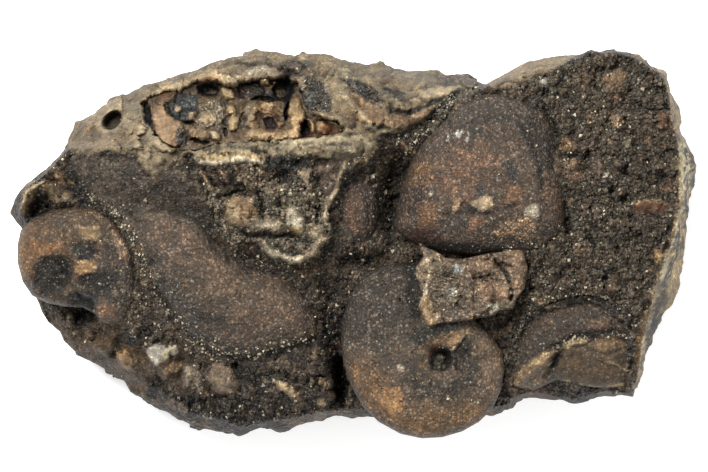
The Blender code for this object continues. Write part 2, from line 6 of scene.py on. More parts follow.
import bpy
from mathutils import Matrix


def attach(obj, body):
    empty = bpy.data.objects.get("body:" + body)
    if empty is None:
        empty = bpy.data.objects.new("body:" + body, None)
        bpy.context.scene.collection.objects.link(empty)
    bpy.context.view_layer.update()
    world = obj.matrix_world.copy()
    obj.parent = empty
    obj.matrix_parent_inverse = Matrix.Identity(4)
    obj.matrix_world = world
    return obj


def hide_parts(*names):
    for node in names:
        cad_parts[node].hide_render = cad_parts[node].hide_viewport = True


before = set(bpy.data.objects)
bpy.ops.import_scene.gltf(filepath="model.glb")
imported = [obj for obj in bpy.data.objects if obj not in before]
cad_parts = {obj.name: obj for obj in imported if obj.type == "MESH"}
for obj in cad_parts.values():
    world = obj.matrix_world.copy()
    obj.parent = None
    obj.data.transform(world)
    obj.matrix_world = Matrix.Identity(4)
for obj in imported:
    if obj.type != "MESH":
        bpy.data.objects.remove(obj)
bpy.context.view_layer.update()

import math

import bpy
import numpy as np
from mathutils import Vector

MM = 0.001

# ---------------------------------------------------------------- the block, as in the solids

PLATE_OUTLINE = [
    (-60.5, 5.5), (-60, 8), (-59, 9.3), (-56.5, 11.3), (-53, 14), (-51.5, 15.5), (-50.8, 17.5), (-49.2, 19.8),
    (-48.8, 21.3), (-45.5, 23), (-43, 25.3), (-40, 26.3), (-36, 28), (-33, 29.2), (-30, 29.9), (-26.5, 31.1),
    (-22.5, 32.6), (-19.5, 32.9), (-17.2, 34), (-14, 33.5), (-10.5, 33.1), (-7, 33.4), (-4.5, 33),
    (-1.5, 32.5), (0.5, 31.5), (2.5, 31.2), (5, 31.5), (7, 31), (10, 30.2), (13.5, 30.3), (17, 29.6),
    (19.5, 29.5), (21.5, 28.6), (23.3, 27.9), (25.5, 29), (28.5, 30.8), (31, 31.9), (36, 32.8), (40, 33.2),
    (41.8, 34.1), (43, 33.7), (45.5, 34), (49.5, 33), (51.5, 32), (53, 30.6), (54.8, 30.1), (55.6, 27.5),
    (56.8, 25), (57.7, 21.5), (57.8, 20), (59.2, 17.2), (60, 15.5), (60.3, 13.5), (59.9, 9.5), (59, 6.5),
    (58.4, 3.5), (58.8, -1), (57.6, -5), (57, -8), (55.5, -12), (53.3, -15.5), (51.8, -20), (50.8, -23),
    (50, -25.5), (49.2, -27.2), (47.5, -26.8), (44, -27), (41, -28.2), (38.8, -28.6), (37, -27.9),
    (33, -27.7), (30, -27.5), (28, -28.8), (25.5, -30.3), (22, -30.6), (16, -30.2), (9, -30.6), (2.5, -30.6),
    (-0.5, -31), (-2, -30.8), (-5.5, -31), (-8.5, -31.9), (-12, -33), (-15, -32.4), (-18, -33.6),
    (-20.5, -34.3), (-22.5, -33.5), (-25, -33.4), (-29, -32.6), (-31.5, -30.8), (-35, -29), (-39.5, -26.4),
    (-40.2, -24.5), (-42, -24), (-44.5, -22), (-48.5, -20), (-51.3, -17.3), (-52, -15.7), (-54, -14),
    (-55.2, -12), (-55.6, -10.2), (-56.4, -7), (-57, -3), (-57.2, 0.5), (-58.4, 2.3), (-59.8, 3.8),
]
FRONT_EDGE = [
    (-58.5, 5.5), (-57.5, 9), (-54, 12), (-51, 15.3), (-49.5, 16.6), (-46, 16.2), (-41, 16.6), (-37, 17),
    (-33, 15.8), (-30, 15.2), (-26, 15.8), (-20, 16.6), (-14, 17.2), (-5, 17.6), (2, 18), (5, 19), (9, 20.6),
    (14, 23), (19, 25.4), (23, 27), (26, 28), (30, 29.2), (34, 30.2), (38, 31.8), (41, 33.2), (46, 33.2),
    (50, 31.8), (53, 29.8), (54.6, 28), (55, 25), (56, 20), (57, 15), (57.3, 10), (57, 5), (56, 1.5),
    (54.5, -3), (53, -7), (51.5, -12), (50.5, -18), (49.6, -24), (48.4, -26.4), (44, -26), (38.8, -27.4),
    (33, -26.6), (30, -26.4), (26, -28.6), (22, -29.5), (10, -29.5), (2, -29.2), (-5, -29.4), (-12, -31),
    (-20, -32), (-27, -30), (-34, -26), (-38, -23), (-42, -20.5), (-47, -17.5), (-50, -14.5), (-53, -11.5),
    (-55.6, -7), (-56.2, -2), (-56.6, 2),
]
WAIST_HEIGHTS = [
    (-180, 15), (-165, 13), (-150, 12), (-125, 13), (-95, 13), (-65, 14), (-45, 15), (-28, 16), (0, 14),
    (13, 14), (28, 20), (37, 24), (50, 25), (60, 21), (85, 20), (118, 20), (140, 18), (158, 18), (172, 16),
    (180, 15),
]
SPOT_HEIGHTS = [
    (-58, 6, 21), (-54, 9, 24), (-50, 13, 28), (-48, 4, 22), (-55, -3, 18), (-50, -10, 17), (-45, -12, 19),
    (-52, -15, 16), (-45, -19, 17), (-40, -22, 17), (-39, -14, 23), (-37, -6, 26), (-39, 2, 26.5),
    (-42, 8, 29), (-45, 14, 31.5), (-35, 14, 33), (-30, 10, 32), (-35, 7, 30), (-26, 8, 31), (-33, 0, 28),
    (-22, -8, 28), (-12, -13, 27), (-30, -16, 25), (-22, -21, 24.5), (-35, -18, 22), (-30, -24, 20.5),
    (-22, -26, 22.5), (-15, -24, 24.5), (-15, -30, 20), (-8, -20, 26), (-5, -26, 24), (-6, -14, 25.5),
    (-3, -8, 25), (-1.5, -20, 22), (-1, -27, 20), (-20, 10, 32), (-10, 10, 32), (-20, 3, 30.5), (-10, 1, 30),
    (-25, 13, 33), (-14, -1, 29.5), (1, 5, 27), (6, 5, 24.5), (6, 12, 26), (4, 15, 30), (9, 18, 31),
    (3, -3, 26.5), (8, -15, 25), (15, -25, 24), (20, 10, 29), (24, -6, 30.5), (32, -5, 32.5), (40, 28, 33),
    (48, 30, 31.5), (40, 15, 36), (50, 15, 34), (55, 10, 32), (45, 0, 35.5), (53, 0, 32.5), (38, 5, 35.5),
    (45, 22, 34.5), (53, 22, 32), (35, -6, 33.5), (45, -6, 34), (51, -8, 32), (32, -15, 28), (40, -13, 30),
    (48, -14, 31), (40, -20, 28), (48, -22, 28), (45, -26.5, 24), (35, -26, 23), (30, -24, 25),
    (27, -18, 26.5), (-10, 17, 36), (0, 17.5, 35.5), (10, 21, 34), (18, 25, 32), (28, 28.5, 31.5),
    (34, 30, 31), (-20, 16, 35.5), (-30, 15.5, 34.5), (-40, 16.5, 33), (-49, 16.5, 29),
]
SPOT_ROUNDING = 3.0
EDGE_CURVE = 0.8

KNOB_OUTLINE = [
    (-28, 14.5), (-27.2, 11), (-25.6, 9.5), (-24.8, 6), (-24, 2), (-21.5, -1), (-19.5, -3.2), (-16.5, -2),
    (-13.5, -3.2), (-9.5, -3.8), (-6.3, -2.2), (-3.8, 1.5), (-4.3, 5.5), (-2.5, 9), (0.5, 13), (4.4, 15.5),
    (4.4, 17.4), (-5, 17.4), (-14, 17), (-22, 16.2), (-27, 15.8),
]
KNOB_HEIGHT = 2.8

HOLLOW_OUTLINE = [
    (-37.3, 24.8), (-36.8, 22), (-35.4, 19.6), (-33.2, 17.6), (-30.5, 16.2), (-27.5, 16.2), (-24, 17.4),
    (-19, 17.6), (-13, 17.9), (-8, 18.2), (-3, 18.7), (-1.6, 19.8), (-3.5, 21.4), (-7.2, 22.3), (-8.6, 25),
    (-9.6, 27.8), (-12, 29.4), (-15, 28.8), (-18.5, 28.6), (-22, 27.6), (-25.5, 28.8), (-28.5, 28),
    (-30.5, 26.6), (-33, 26.6),
]
HOLLOW_CENTRE = (-20.0, 22.6)
HOLLOW_DEPTH = 8.0

BORE_PLACE = (-42.3, 21.5)
BORE_RADII = (2.2, 1.6)
BORE_TURN = 45
BORE_DEPTH = 6.0

# Each fossil as in the solids: centre, outline, height of its middle plane, tilt along X and Y,
# bulge above and below, fullness of its rim. Then how high the rock is banked up round it, the mesh's
# points round it and rings above and below the rim, and from where to where inside its border the
# rock that covers it drops, where that isn't COVER_REACH.
FOSSILS = {
    "ammonite_lower_middle": {
        "centre": (15.3, -20.0),
        "outline": [
            (-2.2, -17.5), (-1.9, -13), (-0.4, -9), (1.6, -5.6), (5, -4), (9, -3.4), (13.5, -3.6),
            (17.5, -6.5), (19.4, -11), (21.6, -13.9), (24.2, -16.2), (26, -19), (26.5, -22), (25.9, -25.5),
            (24.4, -29), (22, -31.3), (19, -33), (15.5, -34), (12, -34.2), (8.2, -33.4), (4.4, -31.3),
            (1.6, -28.6), (-0.4, -25), (-1.7, -21.3),
        ],
        "height": 28.0, "tilt": (-0.05, -0.02), "crown": 6.6, "keel": 5.0, "fullness": 3.2,
        "bank": 0.6, "mesh": (420, 62, 12),
    },
    "ammonite_upper_middle": {
        "centre": (22.5, 11.0),
        "outline": [
            (7.6, 2), (7.4, 5.5), (8.6, 9.5), (9.8, 13.5), (11.9, 17.5), (14.6, 21), (17.4, 24), (20.2, 25.8),
            (23.2, 26.5), (26.2, 26.2), (29.2, 25.2), (32, 23.4), (34.2, 20.8), (35.5, 17.5), (36, 13.5),
            (36.8, 9), (37, 4.5), (36, 1), (33, -1.2), (28, -1.9), (21, -2.2), (14.5, -1.4), (10, 0.2),
        ],
        "height": 31.0, "tilt": (0.12, -0.03), "crown": 9.4, "keel": 6.0, "fullness": 2.3,
        "bank": 1.6, "mesh": (420, 66, 8),
    },
    "ammonite_left": {
        "centre": (-51.5, -5.2),
        "outline": [
            (-58.6, 2.2), (-56.4, 4.4), (-52.5, 6), (-48.5, 6.6), (-45, 6.1), (-42.2, 4.4), (-40.1, 1.4),
            (-38.6, -2), (-38, -6), (-38.3, -10), (-40.2, -13.6), (-43.4, -14.4), (-45.6, -12.4),
            (-47.6, -11.4), (-51, -11.2), (-54, -10.6), (-56.6, -9.3), (-58.3, -6.8), (-59.2, -3.4),
            (-59.2, -0.4),
        ],
        "height": 20.2, "tilt": (0.21, 0.08), "crown": 6.6, "keel": 4.5, "fullness": 2.9,
        "bank": 0.7, "mesh": (360, 56, 10), "cover": (-0.5, 0.9),
    },
    "ammonite_middle_left": {
        "centre": (-22.0, -9.0),
        "outline": [
            (-38.8, 1.6), (-37.2, 5), (-33.5, 6), (-29.5, 5), (-26.6, 3), (-24.6, 0.4), (-21.6, -2.2),
            (-18, -4.6), (-13.4, -5.6), (-10.6, -7.6), (-8.2, -9.8), (-6.6, -12.6), (-6.4, -15.4),
            (-8.2, -17.2), (-12, -18.2), (-16, -19.4), (-20, -20.2), (-24.2, -19.2), (-27.4, -17.4),
            (-30.2, -14.2), (-32.4, -11), (-34.6, -7.6), (-37, -3.6),
        ],
        "height": 26.5, "tilt": (-0.05, 0.07), "crown": 5.6, "keel": 4.0, "fullness": 2.1,
        "bank": 0.0, "mesh": (380, 60, 6),
    },
    "ammonite_lower_right": {
        "centre": (39.0, -18.5),
        "outline": [
            (27.6, -25.2), (27.8, -21), (28.6, -17.4), (30.2, -14), (32.8, -11), (36.2, -9.6), (40, -8.9),
            (43.4, -9.4), (46, -11.2), (48, -13.4), (49.4, -15.6), (49, -19), (48.6, -23.2), (47.4, -25.2),
            (43.6, -25.4), (40, -25), (35.6, -24), (31.4, -26),
        ],
        "height": 27.0, "tilt": (0.06, 0.10), "crown": 5.6, "keel": 4.0, "fullness": 2.6,
        "bank": 2.0, "mesh": (360, 56, 10),
    },
    "ammonite_small": {
        "centre": (1.2, 5.6),
        "outline": [
            (-2.6, 3.4), (-2.9, 7.6), (-1.8, 10.8), (0.4, 12.4), (2.8, 11.8), (4.3, 9), (4.6, 5.4), (3.9, 2),
            (2, -0.6), (-0.4, -0.2),
        ],
        "height": 26.5, "tilt": (-0.10, 0.05), "crown": 4.6, "keel": 3.0, "fullness": 2.0,
        "bank": 1.6, "mesh": (180, 30, 6),
    },
    "shell_scrap": {
        "centre": (20.5, -7.0),
        "outline": [
            (11.2, 0.2), (13, -0.9), (14.7, -1.6), (16, -2.6), (19, -2.8), (23.5, -1.8), (26, -1.5),
            (28, -0.3), (29.6, -0.1), (29.8, -2), (30.4, -4.5), (29.8, -8), (28.5, -9.5), (27.8, -11.5),
            (25.2, -11.8), (24.8, -12.5), (20, -13.5), (17.5, -13.8), (15, -14), (13, -14.6), (12, -13),
            (11.3, -11), (12, -9), (10.8, -5.5), (11, -4), (12.2, -2.4),
        ],
        "height": 33.6, "tilt": (-0.02, 0.03), "crown": 2.4, "keel": 3.5, "fullness": 9.0,
        "bank": 0.0, "mesh": (340, 46, 8),
    },
}

# Inside this line the lower right ammonite is broken and the stone that filled it lies lower.
BROKEN_WHORL = [
    (35.2, -19), (37, -17.5), (39, -16.8), (43, -16.4), (47, -16.6), (50.6, -17.6), (50.6, -27.5),
    (29, -27.5), (30, -24.2), (33.8, -21),
]

# ---------------------------------------------------------------- relief finer than the solids

# Lumps (height above 0) and pits (below 0): x, y, radius along and across, turn, height.
ROCK_OVALS = [
    (-43.2, -12.2, 2.6, 2.8, -30, 1.8), (-57.2, 8.4, 1.8, 3.2, -30, 1.8), (-52.5, 11.2, 1.8, 2.8, 25, 1.6),
    (-0.6, 24, 1.4, 4, 40, 1.2), (-3.2, 30.4, 1.3, 2.6, 55, 1.2), (1.6, 29.4, 1.6, 3.4, 60, 1),
    (9.5, 29.2, 5.5, 2.2, 0, 0.8), (15.2, 26.4, 4, 1.6, 12, 1.4), (8.6, 24.4, 2.6, 1.6, 10, 0.9),
    (19, 29, 3.2, 1.2, -14, 1), (7, 19.5, 3.4, 0.8, 2, 0.8), (38.5, 12.6, 2.4, 2.2, -20, 1.2),
    (-34.8, -19.6, 1.7, 2, -20, 2.2), (-32.9, -19.8, 0.8, 1.6, 12, 2.6), (-31.6, -18.8, 1.1, 1.3, 30, 1.9),
    (-31.6, -21.8, 1.7, 1.2, 10, 1.2), (-28.4, -23.8, 2.2, 2.6, -20, 1.5), (-22.9, -23.9, 2.8, 3.4, 34, 3.2),
    (-11.6, -25.7, 2.4, 1.1, -36, 1.8), (-40.3, -20.5, 1.4, 1.9, 20, 1.4), (-38.9, -16.6, 1.6, 1.5, 0, 1.3),
    (-4.9, -24.7, 1.3, 1.3, 20, 1.2), (-5.5, -28.1, 1.1, 1, 0, 1), (-10.3, -29.2, 0.9, 0.8, 0, 0.8),
    (-7, -19.6, 0.8, 1.4, 0, 0.9), (-19.4, 5.6, 3.4, 3.2, 10, 2.4), (-24.5, 14.6, 3.6, 1.7, 4, 1.6),
    (-18.2, 14.6, 3.2, 1.5, -6, 1.4), (-23.8, 11.2, 3.8, 2.2, 6, 1), (-17.4, 11.8, 2.6, 2.1, 0, 1.6),
    (-8.6, 11.8, 1.2, 2.1, 25, 1.7), (-4.2, 11.4, 2, 3.6, 10, 1.6), (-5.2, 4.8, 1.2, 3, 0, 1.2),
    (-12.8, 8, 2.4, 2.4, 0, 0.9), (-10, 4.2, 2, 3, 24, 2), (-15.2, 3.3, 3.8, 1.1, -4, 1.9),
    (-8.2, 1.8, 3.2, 1.3, -14, 1.4), (-21.6, 0.6, 2.2, 2.8, 24, 1.2), (-10.8, -1.4, 4.6, 2, 0, 0.9),
    (-6, 16.4, 9.6, 2.2, 1, 1.2), (1.2, 16, 3.2, 2.3, -10, 0.9), (45.4, 28.2, 3, 2.6, 30, 1.3),
    (46, 21.2, 1.8, 1.7, 10, 1.2), (47.6, 17.3, 1.2, 1.2, 0, 1.4), (45.7, 16.9, 1.1, 1.1, 20, 1),
    (51.5, 6.4, 3.8, 1.3, -3, 1.3), (37.2, 17.2, 1.8, 1.6, 0, 1.2), (42.3, 13.8, 1.6, 1.9, 20, 1.1),
    (41.2, 21.6, 1.2, 1.1, 0, 1), (33.1, 28.1, 0.9, 0.7, 0, 0.9), (54.6, 21, 1.6, 2.4, 0, 1),
    (54.4, 9.8, 1.6, 1.3, 0, 1), (53.2, -2.4, 0.9, 1.7, 20, 1), (45.5, -6.8, 0.9, 2, 0, 0.9),
    (39.2, -1.2, 1.1, 0.9, 0, 0.9), (50.6, 26, 2.4, 1.8, 30, 0.9), (39.6, 28, 2.2, 1.7, -20, 0.9),
    (51, 13.4, 2.4, 1.6, 10, 0.8), (41, 4.6, 2, 1.8, 0, 0.9), (48.4, 1.4, 2.6, 1.8, 20, 0.8),
    (41.4, -4.6, 2.2, 1.8, 0, 0.8), (8.8, 16.6, 0.9, 1.7, 20, 1), (12.5, -0.6, 1.9, 1.3, -30, 1.4),
    (-55.2, 6.4, 2.8, 2.4, 20, -2.8), (-47.6, -12.4, 2.9, 2.4, 20, -2.6), (-20.9, -21.6, 1, 0.9, 0, -2.4),
    (-2.3, -24.4, 1.6, 5.4, 6, -9), (47, 7.9, 1.4, 0.9, 35, -2.2), (44.8, 9.2, 0.7, 0.9, 0, -1.6),
    (46.2, -1, 0.7, 1.1, 20, -1.4), (-46.6, 19, 2.6, 1.2, 10, -1.3), (-12.6, 12.2, 1.9, 1.2, 0, -1.9),
    (-9, 14, 5.6, 1, 0, -1), (7, 26, 1.6, 0.9, -20, -0.9), (-34.4, -24.6, 2.6, 1.2, -14, -1.3),
    (7.4, 23.3, 1.2, 0.8, 0, -0.9), (-12, 29.9, 1.8, 0.9, -20, -2.4), (-6.6, 25.4, 1.9, 2.6, 20, -0.8),
    (-47.6, 7, 1.6, 0.9, -40, -1.6), (-1, -3.2, 2.6, 1.2, 20, -1.2), (1.6, 26.6, 2.8, 1, -35, -0.9),
]
# Ridges (above 0) and grooves (below 0): height, half width, path.
ROCK_LINES = [
    (-0.9, 0.9, [(-50.2, 15.2), (-49, 11.6), (-47, 8.2), (-45, 6.6)]),
    (-1.9, 0.5, [(-19.4, 1.9), (-17.4, 1.2), (-15.6, 1.6), (-13.8, 1), (-11.4, 1.4), (-9.8, 0.6)]),
    (-1.6, 0.8, [(-20, -1.6), (-18, -0.4), (-17, -2.4)]),
    
        (1.9, 0.5, [(-15.8, 0.2), (-15.2, -1.4), (-13, -2.6), (-10.8, -3.1), (-8.4, -2.8), (-6.6, -1.4),
            (-5.3, 0.2)]),
    (-1.3, 0.6, [(-22.6, 8.4), (-19.6, 9.4), (-16.4, 8.4), (-15.6, 5.6), (-15.8, 4.4)]),
    (-1.3, 0.6, [(-14.8, 14.8), (-14.8, 12.2), (-13.8, 9.4)]),
    (-1.2, 0.5, [(-6.9, 13.8), (-6.6, 10), (-6.2, 7), (-6.2, 3.4)]),
    (1.3, 0.4, [(-26.6, 12.9), (-24.2, 8.6)]),
    (1.3, 0.4, [(-25, 13), (-22.8, 9)]),
    (1.3, 0.4, [(-23.4, 13), (-21.2, 9.8)]),
    (0.7, 0.35, [(-17.2, 13), (-15.6, 12), (-14.4, 10.2)]),
    (-1.6, 0.6, [(6.3, 24.3), (6.5, 23), (10, 22.7), (12.5, 23.8), (15, 25), (18, 26.1)]),
    (-1.8, 0.8, [(6.4, 18.5), (9.8, 19.4), (12.6, 20.8), (14.6, 23), (17.8, 25.4)]),
    (-0.8, 0.4, [(4.2, 20.4), (7, 19.8), (9.6, 19.9), (12.4, 21.6)]),
    (1.1, 0.6, [(-1.4, 25.6), (0.4, 23.2), (3, 20.8)]),
    (0.9, 0.4, [(-27.2, 13.8), (-23, 13.9), (-20, 14.8), (-17, 14), (-15.6, 13.9)]),
    (-0.7, 0.35, [(-26, 15.6), (-22, 15.4), (-17.4, 15.3)]),
    (-0.5, 0.4, [(-27, 16.7), (-22, 17.3), (-18, 16.6), (-15, 15.6), (-8, 14.7), (-1.6, 14)]),
    (-0.3, 0.3, [(-14.5, 16.2), (-8, 16.5), (-4.6, 16.8), (-1, 17.1)]),
    (-0.5, 0.4, [(-3.6, 19), (0, 18.9), (3.6, 19.4)]),
    (0.5, 0.5, [(50.9, -18), (51.6, -14), (52.8, -9), (54.4, -4), (56.2, 1)]),
    (-0.8, 0.6, [(52, -18), (53, -13), (54.8, -8), (56.2, -4)]),
    (-1, 0.5, [(36, 15.3), (37.6, 15), (39.2, 15.2)]),
    (-0.9, 0.5, [(48.8, 15.4), (49.3, 17), (49, 18.6)]),
    (1.5, 0.5, [(-58.4, 4.8), (-57.4, 8.4), (-55.2, 10.2), (-53, 9.8), (-51.8, 7.2)]),
    (1.4, 0.4, [(-57.6, 9.8), (-55.4, 12), (-52.4, 12.6), (-50.4, 10.2)]),
    (-1.4, 0.4, [(-56.6, 10.6), (-54, 11.4), (-52, 10.8)]),
    (-3, 1, [(33.8, 22.8), (35.1, 20), (35.8, 17)]),
    (-3, 0.8, [(36.9, 6.8), (37.1, 4.6), (37.4, 1.8)]),
    (-1.4, 1.3, [(-1, -2.8), (2, -3.8), (5.6, -2.4)]),
    (-2.2, 1.6, [(-4.8, -8), (-4.4, -13), (-3.2, -19), (-3, -28.6)]),
    (-3.4, 2, [(6.6, 1), (6.4, 5), (6.8, 10), (8.4, 14.6)]),
    (-0.9, 0.6, [(-34.4, -25), (-30, -28), (-27.4, -29.6), (-25.2, -32.4)]),
    (-0.9, 0.4, [(-26.4, -21), (-26, -25), (-25.8, -30)]),
    (-0.8, 0.7, [(-44, -15.6), (-41.6, -17.6), (-42.2, -20.8)]),
    (0.5, 0.5, [(-44.6, 20.4), (-41, 19.4), (-38.6, 20.4), (-38.2, 23.6)]),
    (-0.7, 0.5, [(-28.2, 15), (-31, 15.6), (-33.6, 13.4), (-35.6, 12)]),
    (-0.8, 0.4, [(-9.2, 28.6), (-9.6, 26), (-8.6, 23.6)]),
    (-0.8, 0.4, [(-4.2, 28.6), (-3.6, 25.6), (-4, 22.6)]),
    (-0.6, 0.4, [(1, 30.6), (3.4, 29.2), (5, 27.4), (9.6, 27.6)]),
    (-0.8, 0.4, [(-22, 31.6), (-18, 31.2), (-14, 31), (-10, 29.8)]),
]

# ---------------------------------------------------------------- colours, area by area

ROCK_BASE = ((84, 74, 62), 0.8)
PLATEAU = [
    (24, 28), (29, 27), (36, 20), (38, 8), (37, -1), (31, -2), (30, -10), (36, -8), (44, -8.6), (50, -13),
    (53, -4), (56, 4), (57, 16), (55.4, 26), (53, 32), (44, 36), (36, 34), (28, 30),
]
OLIVE_FACE = [
    (-64, 22), (-52, 15.8), (-49.5, 16.4), (-46, 15.3), (-44, 16), (-38, 15.6), (-37.2, 14.4), (-36.2, 12.2),
    (-35.2, 11.7), (-33.4, 12.6), (-31, 15), (-28.2, 15.6), (-27.2, 14.2), (-25, 13.4), (-20, 13.8),
    (-16, 13.6), (-15.2, 15.2), (-11, 15.2), (-6, 14.6), (-1.4, 14.2), (0.4, 13.6), (2.6, 14.6), (4.1, 16.6),
    (4.2, 18.4), (5, 19.2), (8, 18.8), (10, 19.3), (13, 21.3), (16, 23.8), (19, 25.5), (22, 27), (23.5, 28.2),
    (24, 40), (-64, 40),
]
LOWER_LEFT = [
    (-58, -10), (-46, -15), (-42, -10), (-38, -14), (-28, -20), (-20, -21), (-8, -19), (-4, -22), (-5, -36),
    (-30, -36), (-50, -26),
]
RIGHT_WALL = [
    (48, 34), (50.5, 32.6), (54, 30.2), (55.1, 25), (56.4, 18), (56.8, 9), (55.3, 0), (53, -6), (51.6, -10),
    (50.6, -17), (50.2, -21), (49.3, -26), (54, -30), (66, -6), (66, 36), (50, 38),
]
# Where the rock is broken into flat pieces: where, how wide the pieces are and how uneven.
BROKEN_STONE = [
    (OLIVE_FACE, 5, 0.55), (KNOB_OUTLINE, 2.6, 0.50), (PLATEAU, 3, 0.34), (LOWER_LEFT, 3, 0.40),
    (RIGHT_WALL, 3, 0.40),
]

